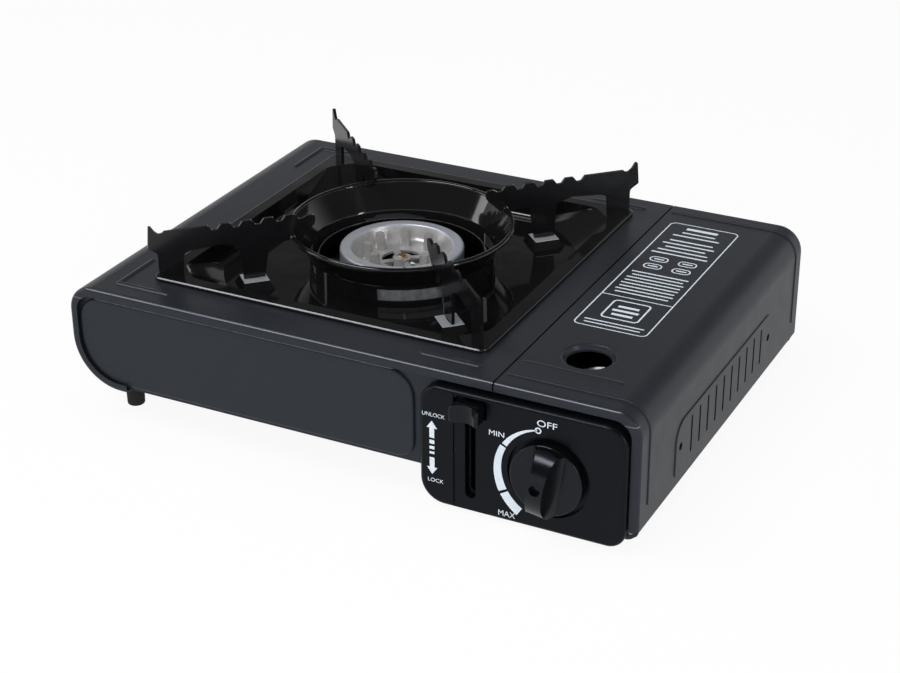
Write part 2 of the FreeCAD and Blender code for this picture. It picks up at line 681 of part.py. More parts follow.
def cartridge_lid():
    """Hinged lid: top, right side, finger hole in a dish, pressed ridges, vents and hinge ears."""
    corners = lid_corners()
    seam = corners[0][0]
    lid = folded_shell(corners, seam)
    lid = lid.cut(prism_y([(seam - 1, CASE_TOP - RIM, 0), (seam - 1, -30, 0), (LID_SIDE - RIM, -30, 0),
                           (LID_SIDE - RIM, CASE_TOP - RIM, LID_SHOULDER - RIM)], FRONT - 1, BACK + 1))
    below = box(seam - 1, RIGHT + 1, FRONT - 1, BACK + 1, -30, LID_LOWER_EDGE)
    lid = lid.cut([below] + seam_notches(seam))
    pad = prism_x(side_pad(), LID_SIDE - SHEET / 2, RIGHT)
    pad = pad.makeFillet(EMBOSS - 0.05, edges_at(pad, 0, RIGHT))
    hollow = prism_x(inset(side_pad(), SHEET), LID_SIDE - SHEET - 1, RIGHT - SHEET)
    lid = lid.fuse(pad).cut(hollow)
    finger = Vector(RIGHT - FINGER_FROM_RIGHT, FRONT + FINGER_FROM_FRONT, CASE_TOP)
    lid = lid.cut(rod(FINGER_DISH_RADIUS, finger - ALONG_Z * 3, finger + ALONG_Z))
    path = [(FINGER_DISH_RADIUS + 0.6, -SHEET / 2, 0), (FINGER_DISH_RADIUS - 0.6, -SHEET / 2, 0.8),
            (FINGER_DISH_RADIUS - 2, -FINGER_DISH_DEPTH, 0.8), (FINGER_HOLE_RADIUS, -FINGER_DISH_DEPTH, 0)]
    lid = lid.fuse(turned(strip(path, SHEET), finger, ALONG_Z, ALONG_X))
    for distance in LID_BEADS_FROM_FRONT:
        lid = lid.fuse(lid_bead(FRONT + distance))
    start = Vector(seam + BEAD_WIDTH, FRONT + LID_SHORT_BEAD_FROM_FRONT, CASE_TOP)
    lid = lid.fuse(bead(start, start + ALONG_X * LID_SHORT_BEAD, ALONG_Z, EMBOSS))
    for index in range(VENT_COUNT):
        y = FRONT + VENT_FROM_FRONT + index * VENT_PITCH
        vent = rectangle(y - VENT_WIDTH / 2, y + VENT_WIDTH / 2, VENT_BOTTOM, VENT_TOP, VENT_WIDTH / 2 - 0.1)
        lid = lid.cut(prism_x(vent, LID_SIDE - 2, RIGHT + 1))
    middle = (VENT_BOTTOM + VENT_TOP) / 2
    for distance in VENT_HOLES_FROM_FRONT:
        start = Vector(LID_SIDE - 2, FRONT + distance, middle)
        lid = lid.cut(rod(VENT_HOLE_RADIUS, start, start + ALONG_X * 4))
    ear = lid_ear()
    return lid.fuse([ear, rear_copy(ear)]).removeSplitter()


def hinge_pins():
    """Two rivets in the base's walls that the lid's ears turn on."""
    start = Vector(HINGE_X, WALL_OUTSIDE, HINGE_Z)
    head = Vector(HINGE_X, WALL_INSIDE + 2 * FIT + SHEET, HINGE_Z)
    pin = rod(HINGE_PIN_RADIUS, start, head).fuse(rod(2 * HINGE_PIN_RADIUS, head, head + ALONG_Y * SHEET))
    return Part.makeCompound([pin, rear_copy(pin)])


def control_panel():
    """Moulded panel: knob recess, lever channel and slot, hollow behind."""
    right = RIGHT - PANEL_FROM_RIGHT
    left = right - PANEL_LENGTH
    places = ((left, PANEL_BOTTOM), (right, PANEL_BOTTOM), (right, PANEL_TOP), (left, PANEL_TOP))
    corners = [(u, v, radius) for (u, v), radius in zip(places, PANEL_RADII)]
    panel = prism_y(corners, PANEL_FACE, WALL_OUTSIDE)
    panel = panel.makeFillet(EDGE_RADIUS, edges_at(panel, 1, PANEL_FACE))
    inside = PANEL_FACE + PANEL_WALL
    panel = panel.cut(prism_y(inset(corners, PANEL_WALL), inside, WALL_OUTSIDE + 1))
    knob = Vector(KNOB_X, PANEL_FACE, KNOB_Z)
    recess = KNOB_RADIUS + KNOB_RECESS_GAP
    panel = panel.fuse(rod(recess + 2, knob + ALONG_Y * (PANEL_WALL / 2), knob + ALONG_Y * (KNOB_SINK + 2)))
    panel = panel.cut(rod(recess, knob - ALONG_Y, knob + ALONG_Y * KNOB_SINK))
    panel = panel.cut(rod(SPINDLE_RADIUS + 1.5, knob, knob + ALONG_Y * 10))
    half = LEVER_CAP_WIDTH / 2 + 1
    top_edge = LEVER_Z + LEVER_CAP_HEIGHT / 2 + HOOD_ABOVE_CAP
    low_edge = LEVER_Z - LEVER_CAP_HEIGHT / 2 + 1
    hood_back = PANEL_FACE + HOOD_DEPTH + PANEL_WALL / 2
    panel = panel.fuse(box(LEVER_X - half - 1, LEVER_X + half + 1, PANEL_FACE + 1, hood_back,
                           PANEL_BOTTOM + PANEL_WALL / 2, PANEL_TOP - PANEL_WALL / 2))
    channel = rectangle(LEVER_X - half, LEVER_X + half, PANEL_BOTTOM - 1, top_edge, 0)
    panel = panel.cut(prism_y(channel, PANEL_FACE - 1, PANEL_FACE + CHANNEL_DEPTH))
    hood = [(LEVER_X - half, low_edge, 0), (LEVER_X + half, low_edge, 0),
            (LEVER_X + half, top_edge, HOOD_RADIUS), (LEVER_X - half, top_edge, HOOD_RADIUS)]
    panel = panel.cut(prism_y(hood, PANEL_FACE - 1, PANEL_FACE + HOOD_DEPTH))
    slot_end = SLOT_HALF - TOUCH
    slot = [(LEVER_X - SLOT_HALF, SLOT_BOTTOM, slot_end), (LEVER_X + SLOT_HALF, SLOT_BOTTOM, slot_end),
            (LEVER_X + SLOT_HALF, LEVER_Z + LEVER_NECK_HEIGHT, 0),
            (LEVER_X - SLOT_HALF, LEVER_Z + LEVER_NECK_HEIGHT, 0)]
    panel = panel.cut(prism_y(slot, PANEL_FACE - 1, WALL_OUTSIDE + 1))
    for place in panel_screw_places():
        seat_point = Vector(place.x, inside - 1, place.z)
        panel = panel.fuse(rod(2 * SCREW_HEAD_RADIUS - SCREW_RADIUS, seat_point,
                               Vector(place.x, WALL_OUTSIDE, place.z)))
        panel = panel.cut(rod(SCREW_RADIUS, Vector(place.x, inside, place.z), place))
    return panel.removeSplitter()


def screw(place, direction, length):
    """Pan head screw whose head sits on place and whose shank runs along direction."""
    head = turned([(0, -SCREW_HEAD, 0), (SCREW_HEAD_RADIUS, -SCREW_HEAD, 0.8), (SCREW_HEAD_RADIUS, 0, 0),
                   (0, 0, 0)], place, direction, ALONG_X if direction.x == 0 else ALONG_Z)
    return head.fuse(rod(SCREW_RADIUS, place, place + direction * length))


def panel_screws():
    """Screws through the base's front wall into the control panel."""
    length = WALL_INSIDE - PANEL_FACE - PANEL_WALL - FIT
    return Part.makeCompound([screw(place, ALONG_Y * -1, length) for place in panel_screw_places()])


def case_screws():
    """Screws under the left side that hold the cover to the base."""
    places = [place - ALONG_Z * 0.1 for place in case_screw_places()]
    return Part.makeCompound([screw(place, ALONG_Z, 5) for place in places])


def knob():
    """Round disc with an arched grip ridge, a centre hole and a socket for the spindle."""
    face = PANEL_FACE - KNOB_DISC_PROUD
    back = PANEL_FACE + KNOB_SINK - 1
    crest = PANEL_FACE - KNOB_PROUD
    axis = Vector(KNOB_X, 0, KNOB_Z)
    disc = turned([(0, face, 0), (KNOB_RADIUS, face, 1), (KNOB_RADIUS, back, 0), (0, back, 0)],
                  axis, ALONG_Y, ALONG_X)
    end = face - GRIP_END_PROUD
    profile = [Part.makeLine(Vector(0, face + 1, -KNOB_RADIUS), Vector(0, end, -KNOB_RADIUS)),
               Part.Arc(Vector(0, end, -KNOB_RADIUS), Vector(0, crest, 0),
                        Vector(0, end, KNOB_RADIUS)).toShape(),
               Part.makeLine(Vector(0, end, KNOB_RADIUS), Vector(0, face + 1, KNOB_RADIUS)),
               Part.makeLine(Vector(0, face + 1, KNOB_RADIUS), Vector(0, face + 1, -KNOB_RADIUS))]
    grip = Part.Face(Part.Wire(profile)).extrude(ALONG_X * 2 * KNOB_RADIUS)
    grip.translate(Vector(-KNOB_RADIUS, 0, 0))
    for side in (-1, 1):
        centre = side * (GRIP_WIDTH / 2 + GRIP_FLANK_RADIUS)
        flank = rod(GRIP_FLANK_RADIUS, Vector(centre, crest + 2, -30), Vector(centre, crest + 2, 30))
        outer = box(min(0, centre), max(0, centre), crest - 20, crest + 2, -30, 30)
        outer = outer.cut(box(-GRIP_WIDTH / 2, GRIP_WIDTH / 2, crest - 21, crest + 3, -31, 31))
        grip = grip.cut([flank, outer])
    grip = grip.common(rod(KNOB_RADIUS - 0.5, Vector(0, crest - 1, 0), Vector(0, face + 1, 0)))
    grip.translate(axis)
    whole = disc.fuse(grip)
    hole = Vector(KNOB_X, crest - 1, KNOB_Z + KNOB_HOLE_RISE)
    whole = whole.cut(rod(KNOB_HOLE_RADIUS, hole, hole + ALONG_Y * (KNOB_HOLE_DEPTH + 1)))
    bore = SPINDLE_RADIUS + RUNNING
    whole = whole.cut(rod(bore, Vector(KNOB_X, crest + KNOB_WEB, KNOB_Z), Vector(KNOB_X, back + 1, KNOB_Z)))
    whole.rotate(axis, ALONG_Y, GRIP_TILT)
    return whole.removeSplitter()


def knob_spindle():
    """Steel spindle from the knob to the valve in the regulator."""
    start = Vector(KNOB_X, PANEL_FACE - KNOB_PROUD + KNOB_WEB + FIT, KNOB_Z)
    return rod(SPINDLE_RADIUS, start, Vector(KNOB_X, FRONT + REGULATOR_FROM_FRONT, KNOB_Z))


def ignition_cam():
    """Snail cam on the spindle: its radius grows evenly over the turn from shut to alight."""
    def point(turn):
        radius = CAM_LOW + CAM_RISE * turn / CAM_TURN
        angle = math.radians(-turn)
        return Vector(KNOB_X + radius * math.cos(angle), cam_start, KNOB_Z + radius * math.sin(angle))

    cam_start = IGNITER_Y - CAM_THICKNESS / 2
    step = CAM_TURN / 4
    edges = [Part.Arc(point(step * index), point(step * (index + 0.5)), point(step * (index + 1))).toShape()
             for index in range(4)]
    drop = math.radians(-CAM_TURN)
    foot = Vector(KNOB_X + CAM_LOW * math.cos(drop), cam_start, KNOB_Z + CAM_LOW * math.sin(drop))
    far = math.radians(120)
    side = Vector(KNOB_X + CAM_LOW * math.cos(far), cam_start, KNOB_Z + CAM_LOW * math.sin(far))
    edges.append(Part.makeLine(point(CAM_TURN), foot))
    edges.append(Part.Arc(foot, side, point(0)).toShape())
    plate = Part.Face(Part.Wire(edges)).extrude(ALONG_Y * CAM_THICKNESS)
    centre = Vector(KNOB_X, cam_start - 1, KNOB_Z)
    return plate.cut(rod(SPINDLE_RADIUS, centre, centre + ALONG_Y * 5))


def igniter_plunger():
    """Round push rod between the cam and the piezo igniter."""
    start = Vector(KNOB_X + CAM_LOW + FIT, IGNITER_Y, KNOB_Z)
    end = Vector(igniter_start() + PLUNGER_LENGTH_INSIDE - IGNITER_FROM_CAM, IGNITER_Y, KNOB_Z)
    plunger = rod(PLUNGER_RADIUS, start, end)
    return plunger.makeFillet(PLUNGER_RADIUS - 0.4, edges_at(plunger, 0, start.x))


def igniter_start():
    """Left end of the piezo igniter's housing, just clear of the cam at its highest."""
    return KNOB_X + CAM_LOW + CAM_RISE + IGNITER_FROM_CAM


def piezo_igniter():
    """Moulded piezo igniter clipped behind the front wall."""
    start = Vector(igniter_start(), IGNITER_Y, KNOB_Z)
    body = rod(IGNITER_RADIUS, start, start + ALONG_X * IGNITER_LENGTH)
    body = body.makeFillet(1, edges_at(body, 0, start.x) + edges_at(body, 0, start.x + IGNITER_LENGTH))
    bore = CAM_RISE + PLUNGER_LENGTH_INSIDE
    return body.cut(rod(PLUNGER_RADIUS + FIT, start - ALONG_X, start + ALONG_X * bore))


def around_burner(radius, angle, height=0.0):
    """Point at a distance and an angle in degrees from the burner's axis."""
    turn = math.radians(angle)
    return Vector(TRAY_X + radius * math.cos(turn), TRAY_Y + radius * math.sin(turn), height)


def electrode_place(height=0.0):
    """Point on the axis of the electrode's insulator."""
    return around_burner(ELECTRODE_CIRCLE, ELECTRODE_ANGLE, height)


def electrode_insulator():
    """Ceramic tube through the burner bracket."""
    base = electrode_place(BRACKET_TOP - INSULATOR_BELOW)
    top = electrode_place(HEAD_TOP - 3)
    body = rod(INSULATOR_RADIUS, base, top)
    flange = rod(INSULATOR_RADIUS + 1, electrode_place(BRACKET_TOP), electrode_place(BRACKET_TOP + 2))
    body = body.fuse(flange)
    return body.cut(rod(ELECTRODE_RADIUS, base - ALONG_Z, top + ALONG_Z))


def electrode():
    """Spark wire that rises from the insulator and bends over the burner's rim."""
    base = electrode_place(BRACKET_TOP - INSULATOR_BELOW)
    bend = electrode_place(HEAD_TOP + 3)
    tip = around_burner(ELECTRODE_CIRCLE - ELECTRODE_REACH, ELECTRODE_ANGLE, bend.z)
    return bent_rod([(base, 0), (bend, 2), (tip, 0)], ELECTRODE_RADIUS)


def ignition_wire():
    """Insulated lead from the igniter over the cartridge bay and under the tray to the electrode."""
    start = igniter_start() + IGNITER_LENGTH
    side = start + WIRE_LOOP
    spot = electrode_place()
    entry_x = spot.x + WIRE_ASIDE
    tight = 2.4 * WIRE_RADIUS
    loose = 4 * WIRE_RADIUS
    points = [(Vector(start, IGNITER_Y, KNOB_Z), 0), (Vector(side, IGNITER_Y, KNOB_Z), tight),
              (Vector(side, IGNITER_Y, WIRE_HIGH), tight), (Vector(entry_x, IGNITER_Y, WIRE_HIGH), loose),
              (Vector(entry_x, IGNITER_Y, WIRE_LOW), loose), (Vector(entry_x, spot.y, WIRE_LOW), loose),
              (electrode_place(WIRE_LOW), tight), (electrode_place(BRACKET_TOP - INSULATOR_BELOW), 0)]
    return bent_rod(points, WIRE_RADIUS)


def lock_lever_cap():
    """Thumb piece of the lock lever, hollowed across its front, with its neck through the slot."""
    half = LEVER_CAP_WIDTH / 2
    high = LEVER_CAP_HEIGHT / 2
    front = PANEL_FACE - LEVER_CAP_PROUD
    back = PANEL_FACE + CHANNEL_DEPTH - FIT
    corners = rectangle(LEVER_X - half, LEVER_X + half, LEVER_Z - high, LEVER_Z + high, 2.5)
    cap = prism_y(corners, front, back)
    cap = cap.makeFillet(1, edges_at(cap, 1, front))
    scoop = Vector(LEVER_X, front - LEVER_SCOOP_RADIUS + LEVER_SCOOP_DEPTH, LEVER_Z - LEVER_CAP_HEIGHT)
    cap = cap.cut(rod(LEVER_SCOOP_RADIUS, scoop, scoop + ALONG_Z * 2 * LEVER_CAP_HEIGHT))
    neck_half = LEVER_NECK_WIDTH / 2
    neck_high = LEVER_NECK_HEIGHT / 2
    neck = box(LEVER_X - neck_half, LEVER_X + neck_half, back - 1, WALL_INSIDE + FIT,
               LEVER_Z - neck_high, LEVER_Z + neck_high)
    return cap.fuse(neck).removeSplitter()


def cam_pin_y():
    """Depth at which the lever's pin runs, clear of the slide at its foremost."""
    return WALL_INSIDE + FIT + SLIDE_TRAVEL + 4


def lock_lever_carrier():
    """Steel plate behind the wall, with a lug and the pin that runs in the slide's inclined slot."""
    near = WALL_INSIDE + FIT
    half = CARRIER_WIDTH / 2
    corners = rectangle(LEVER_X - half, LEVER_X + half, LEVER_Z - CARRIER_BELOW, LEVER_Z + CARRIER_ABOVE,
                        PIN_RADIUS)
    plate = prism_y(corners, near, near + CARRIER_SHEET)
    pin_y = cam_pin_y()
    lug = box(LEVER_X - half / 2, LEVER_X + half, near + CARRIER_SHEET / 2, pin_y + PIN_RADIUS + 1,
              LEVER_Z - LUG_HALF, LEVER_Z + LUG_HALF)
    pin = rod(PIN_RADIUS, Vector(LEVER_X, pin_y, LEVER_Z),
              Vector(CAM_X + CAM_PLATE + PIN_RADIUS, pin_y, LEVER_Z))
    return plate.fuse([lug, pin]).removeSplitter()


def slide_bar_bottom():
    """Height of the slide's bar above the surface that the stove stands on."""
    return FLOOR_TOP + SLIDE_BAR_LIFT


def cartridge_slide():
    """Slide that the lever draws forward: cam plate with inclined slot, long bar, and pusher at the rear."""
    low = slide_bar_bottom()
    start = WALL_INSIDE + FIT + SLIDE_TRAVEL + 0.4
    plate = prism_x(rectangle(start, start + CAM_DEPTH, low, LEVER_Z + 5, 1.5), CAM_X, CAM_X + CAM_PLATE)
    pin_y = cam_pin_y()
    upper = (pin_y, LEVER_Z)
    lower = (pin_y + SLIDE_TRAVEL, LEVER_Z - LEVER_TRAVEL)
    along = heading(upper, lower)
    half = CAM_SLOT_WIDTH / 2
    across = (-along[1] * half, along[0] * half)
    corners = [(upper[0] + across[0], upper[1] + across[1], 0),
               (upper[0] - across[0], upper[1] - across[1], 0),
               (lower[0] - across[0], lower[1] - across[1], 0),
               (lower[0] + across[0], lower[1] + across[1], 0)]
    slot = prism_x(corners, CAM_X - 1, CAM_X + CAM_PLATE + 1)
    for y, z in (upper, lower):
        slot = slot.fuse(rod(half, Vector(CAM_X - 1, y, z), Vector(CAM_X + CAM_PLATE + 1, y, z)))
    plate = plate.cut(slot)
    rear = REAR_INSIDE - SLIDE_FROM_REAR
    bar = box(CAM_X, CAM_X + SLIDE_BAR_WIDTH, start + 1, rear, low, low + SLIDE_BAR_HEIGHT)
    half_width = CARTRIDGE_RADIUS / 2
    corners = [(CAM_X, low, 0), (SOCKET_X + half_width + 4, low, 4),
               (SOCKET_X + half_width + 4, PUSHER_HEIGHT, PUSHER_TURN),
               (SOCKET_X - half_width, PUSHER_HEIGHT, PUSHER_TURN),
               (CAM_X, PUSHER_HEIGHT / 2, PUSHER_TURN / 2)]
    pusher = prism_y(corners, rear - PUSHER_SHEET, rear)
    return plate.fuse([bar, pusher]).removeSplitter()


def slide_guides():
    """Two channel guides on the floor that the slide's bar runs in."""
    low = slide_bar_bottom()
    guides = []
    left = CAM_X - FIT - GUIDE_WALL
    right = CAM_X + SLIDE_BAR_WIDTH + FIT + GUIDE_WALL
    high = low + SLIDE_BAR_HEIGHT - 2
    for y in (FRONT + GUIDES_FROM_ENDS[0], BACK - GUIDES_FROM_ENDS[1]):
        guide = box(left, right, y, y + GUIDE_LENGTH, FLOOR_TOP, high)
        guides.append(guide.cut(box(left + GUIDE_WALL, right - GUIDE_WALL, y - 1, y + GUIDE_LENGTH + 1,
                                    low - FIT, high + 1)))
    return Part.makeCompound(guides)


def socket_point(depth):
    """Point on the cartridge socket's axis at a distance behind the case's front."""
    return Vector(SOCKET_X, FRONT + depth, SOCKET_Z)


def regulator_body():
    """Cast regulator: round body, socket neck, valve boss for the spindle and outlet arm."""
    start = REGULATOR_FROM_FRONT
    neck = start + REGULATOR_LENGTH
    mouth = neck + SOCKET_NECK_LENGTH
    body = turned([(0, start, 0), (REGULATOR_RADIUS, start, 2), (REGULATOR_RADIUS, neck, 2),
                   (SOCKET_NECK_RADIUS, neck, 1), (SOCKET_NECK_RADIUS, mouth, 1), (0, mouth, 0)],
                  socket_point(0), ALONG_Y, ALONG_X)
    boss = Vector(KNOB_X, IGNITER_Y + CAM_THICKNESS / 2 + FIT, KNOB_Z)
    body = body.fuse(rod(VALVE_BOSS_RADIUS, boss, Vector(KNOB_X, FRONT + start + 4, KNOB_Z)))
    arm_end = Vector(outlet_x(), MIX_Y, MIX_Z)
    body = body.fuse(rod(OUTLET_RADIUS, Vector(SOCKET_X, MIX_Y, MIX_Z), arm_end))
    chamber = Vector(SOCKET_X, FRONT + DIAPHRAGM_FROM_FRONT, SOCKET_Z)
    body = body.fuse(rod(CHAMBER_RADIUS, chamber, Vector(cap_start(), chamber.y, SOCKET_Z)))
    bore = rod(SOCKET_BORE, socket_point(mouth - SOCKET_DEPTH), socket_point(mouth + 1))
    spindle = rod(SPINDLE_RADIUS + RUNNING, boss - ALONG_Y, Vector(KNOB_X, FRONT + start + 1, KNOB_Z))
    outlet = rod(NOZZLE_RADIUS - 1.5, arm_end - ALONG_X, arm_end + ALONG_X * 6)
    body = body.cut([bore, spindle, outlet])
    for place in regulator_screw_places():
        body = body.cut(rod(SCREW_RADIUS, place, place + ALONG_Z * 8))
    return body


def outlet_x():
    """Left end of the regulator's outlet arm, where the nozzle sits."""
    return SOCKET_X - REGULATOR_RADIUS - OUTLET_REACH


def cap_start():
    """Left face of the regulator's diaphragm cap."""
    return SOCKET_X + REGULATOR_RADIUS


def regulator_cap():
    """Crimped diaphragm cap on the right of the regulator."""
    origin = Vector(cap_start(), FRONT + DIAPHRAGM_FROM_FRONT, SOCKET_Z)
    return turned([(0, 0, 0), (DIAPHRAGM_RADIUS, 0, 0.8), (DIAPHRAGM_RADIUS, 4, 0.8),
                   (DIAPHRAGM_RADIUS - 3, DIAPHRAGM_THICKNESS, 2), (0, DIAPHRAGM_THICKNESS, 0)],
                  origin, ALONG_X, ALONG_Z)


def gas_nozzle():
    """Brass nozzle that blows gas into the mixing tube's mouth."""
    origin = Vector(outlet_x(), MIX_Y, MIX_Z)
    reach = origin.x - MIX_MOUTH_X - 2
    shank = NOZZLE_RADIUS - 1.5
    return turned([(0, -4, 0), (shank, -4, 0), (shank, 0, 0), (NOZZLE_RADIUS, 0, 0),
                   (NOZZLE_RADIUS, reach / 2, 0.5), (NOZZLE_TIP, reach, 0.3), (0, reach, 0)],
                  origin, ALONG_X * -1, ALONG_Z)


def cartridge_collar():
    """Flared steel cup around the socket that centres the cartridge's neck."""
    mouth = REGULATOR_FROM_FRONT + REGULATOR_LENGTH + SOCKET_NECK_LENGTH
    foot = mouth - COLLAR_BEHIND_MOUTH
    path = [(SOCKET_NECK_RADIUS, foot, 0), (COLLAR_RIM_RADIUS - 6, foot, 3),
            (COLLAR_RIM_RADIUS, foot + COLLAR_DEPTH, 0)]
    return turned(strip(path, SHEET), socket_point(0), ALONG_Y, ALONG_X)


def socket_seal():
    """Rubber ring at the mouth of the socket."""
    mouth = REGULATOR_FROM_FRONT + REGULATOR_LENGTH + SOCKET_NECK_LENGTH
    return turned(rectangle(SOCKET_BORE + 0.5, SOCKET_BORE + 4, mouth, mouth + 1.5, 0.6),
                  socket_point(0), ALONG_Y, ALONG_X)


def regulator_screw_places():
    """Points under the regulator's bracket."""
    first = FRONT + REGULATOR_FROM_FRONT + 10
    z = SOCKET_Z - REGULATOR_RADIUS - SHEET
    return [Vector(SOCKET_X, first + step, z) for step in (0, 2 * SCREW_HEAD_RADIUS + 1)]


def regulator_bracket():
    """Bent steel foot under the regulator."""
    low = FLOOR_TOP + SHEET / 2
    high = SOCKET_Z - REGULATOR_RADIUS - SHEET / 2
    front = FRONT + REGULATOR_FROM_FRONT - 4
    rear = FRONT + REGULATOR_FROM_FRONT + 5
    path = [(front, low, 0), (rear, low, 1.5), (rear, high, 1.5), (rear + 13, high, 0)]
    bracket = prism_x(strip(path, SHEET), SOCKET_X - FOOT_HALF_WIDTH, SOCKET_X + FOOT_HALF_WIDTH)
    for place in regulator_screw_places():
        bracket = bracket.cut(rod(SCREW_RADIUS, place - ALONG_Z, place + ALONG_Z * 2))
    return bracket


def regulator_screws():
    """Screws through the bracket into the regulator."""
    return Part.makeCompound([screw(place, ALONG_Z, 6) for place in regulator_screw_places()])


def mixing_tube():
    """Tube in which gas and air mix: flared mouth, one long bend, and a rise to the burner."""
    mouth = Vector(MIX_MOUTH_X, MIX_Y, MIX_Z)
    throat = mouth - ALONG_X * BELL_LENGTH
    points = [(throat, 0), (Vector(TRAY_X, MIX_Y, MIX_Z), MIX_LONG_BEND),
              (Vector(TRAY_X, TRAY_Y, MIX_Z), MIX_RISE_BEND), (Vector(TRAY_X, TRAY_Y, cup_neck_top()), 0)]
    bore = MIX_RADIUS - MIX_WALL
    tube = bent_rod(points, MIX_RADIUS).cut(bent_rod(points, bore))
    bell = Part.makeCone(MIX_RADIUS, MIX_RADIUS + BELL_FLARE, BELL_LENGTH, throat, ALONG_X)
    flare = Part.makeCone(bore, bore + BELL_FLARE, BELL_LENGTH, throat, ALONG_X)
    return tube.fuse(bell.cut(flare)).removeSplitter()


def cup_neck_top():
    """Height at which the burner cup's neck turns outwards."""
    return BRACKET_TOP + 3


def burner_base():
    """Pressed cup under the burner head, its neck around the mixing tube."""
    neck = MIX_RADIUS + RUNNING + CUP_WALL / 2
    edge = HEAD_RADIUS - 1.5
    path = [(neck, BRACKET_TOP, 0), (neck, cup_neck_top() + 0.5, 2), (edge, HEAD_BOTTOM - 3, 2),
            (edge, HEAD_BOTTOM, 0)]
    return turned(strip(path, CUP_WALL), Vector(TRAY_X, TRAY_Y, 0), ALONG_Z, ALONG_X)


def burner_head():
    """Cast head: rounded outer ring, dished floor with eight pegs, open centre with a bridged hub."""
    centre = Vector(TRAY_X, TRAY_Y, 0)
    floor = HEAD_BOTTOM + HEAD_FLOOR
    profile = [(HEAD_OPENING, HEAD_BOTTOM, 0), (HEAD_RADIUS, HEAD_BOTTOM, 1), (HEAD_RADIUS, HEAD_TOP, 1.6),
               (HEAD_RING_INSIDE, HEAD_TOP, 1.2), (HEAD_RING_INSIDE - DISH_SLOPE, floor, DISH_SLOPE),
               (HEAD_OPENING, floor, 0)]
    head = turned(profile, centre, ALONG_Z, ALONG_X)
    for index in range(PEG_COUNT):
        peg_foot = around_burner(PEG_CIRCLE, 360 / PEG_COUNT * (index + 0.5), floor - 0.5)
        head = head.fuse(Part.makeCone(PEG_FOOT, PEG_TIP, PEG_HEIGHT + 0.5, peg_foot, ALONG_Z))
    hub = rod(HUB_RADIUS, centre + ALONG_Z * HEAD_BOTTOM, centre + ALONG_Z * (floor + 1))
    head = head.fuse(hub)
    for index in range(BRIDGE_COUNT):
        bridge = box(TRAY_X, TRAY_X + HEAD_OPENING + 1, TRAY_Y - BRIDGE_WIDTH / 2, TRAY_Y + BRIDGE_WIDTH / 2,
                     HEAD_BOTTOM, floor)
        bridge.rotate(centre, ALONG_Z, 360 / BRIDGE_COUNT * (index + 0.5))
        head = head.fuse(bridge)
    ports = []
    for index in range(PORT_COUNT):
        port = box(TRAY_X + HEAD_RADIUS - PORT_LENGTH, TRAY_X + HEAD_RADIUS + 1, TRAY_Y - PORT_WIDTH / 2,
                   TRAY_Y + PORT_WIDTH / 2, HEAD_BOTTOM - 1, HEAD_BOTTOM + PORT_HEIGHT)
        port.rotate(centre, ALONG_Z, 360 / PORT_COUNT * index)
        ports.append(port)
    head = head.cut(ports + [rod(SCREW_RADIUS, centre, centre + ALONG_Z * (floor + 3))])
    return head.removeSplitter()


def burner_screw():
    """Brass screw in the burner head's hub."""
    top = HEAD_BOTTOM + HEAD_FLOOR + 1
    return screw(Vector(TRAY_X, TRAY_Y, top), ALONG_Z * -1, top - HEAD_BOTTOM + 1)


def burner_bracket():
    """Sheet steel bridge that holds the burner above the base's floor."""
    low = LEFT_FLOOR_TOP + SHEET / 2
    high = BRACKET_TOP - SHEET / 2
    outer = BRACKET_SPAN + BRACKET_FOOT
    path = [(TRAY_X - outer, low, 0), (TRAY_X - BRACKET_SPAN, low, 2), (TRAY_X - BRACKET_SPAN, high, 2),
            (TRAY_X + BRACKET_SPAN, high, 2), (TRAY_X + BRACKET_SPAN, low, 2), (TRAY_X + outer - 4, low, 0)]
    bracket = prism_y(strip(path, SHEET), TRAY_Y - BRACKET_AHEAD, TRAY_Y + BRACKET_BEHIND)
    tube_hole = rod(MIX_RADIUS + FIT, Vector(TRAY_X, TRAY_Y, high - 2), Vector(TRAY_X, TRAY_Y, high + 2))
    insulator_hole = rod(INSULATOR_RADIUS, electrode_place(high - 2), electrode_place(high + 2))
    return bracket.cut([tube_hole, insulator_hole])


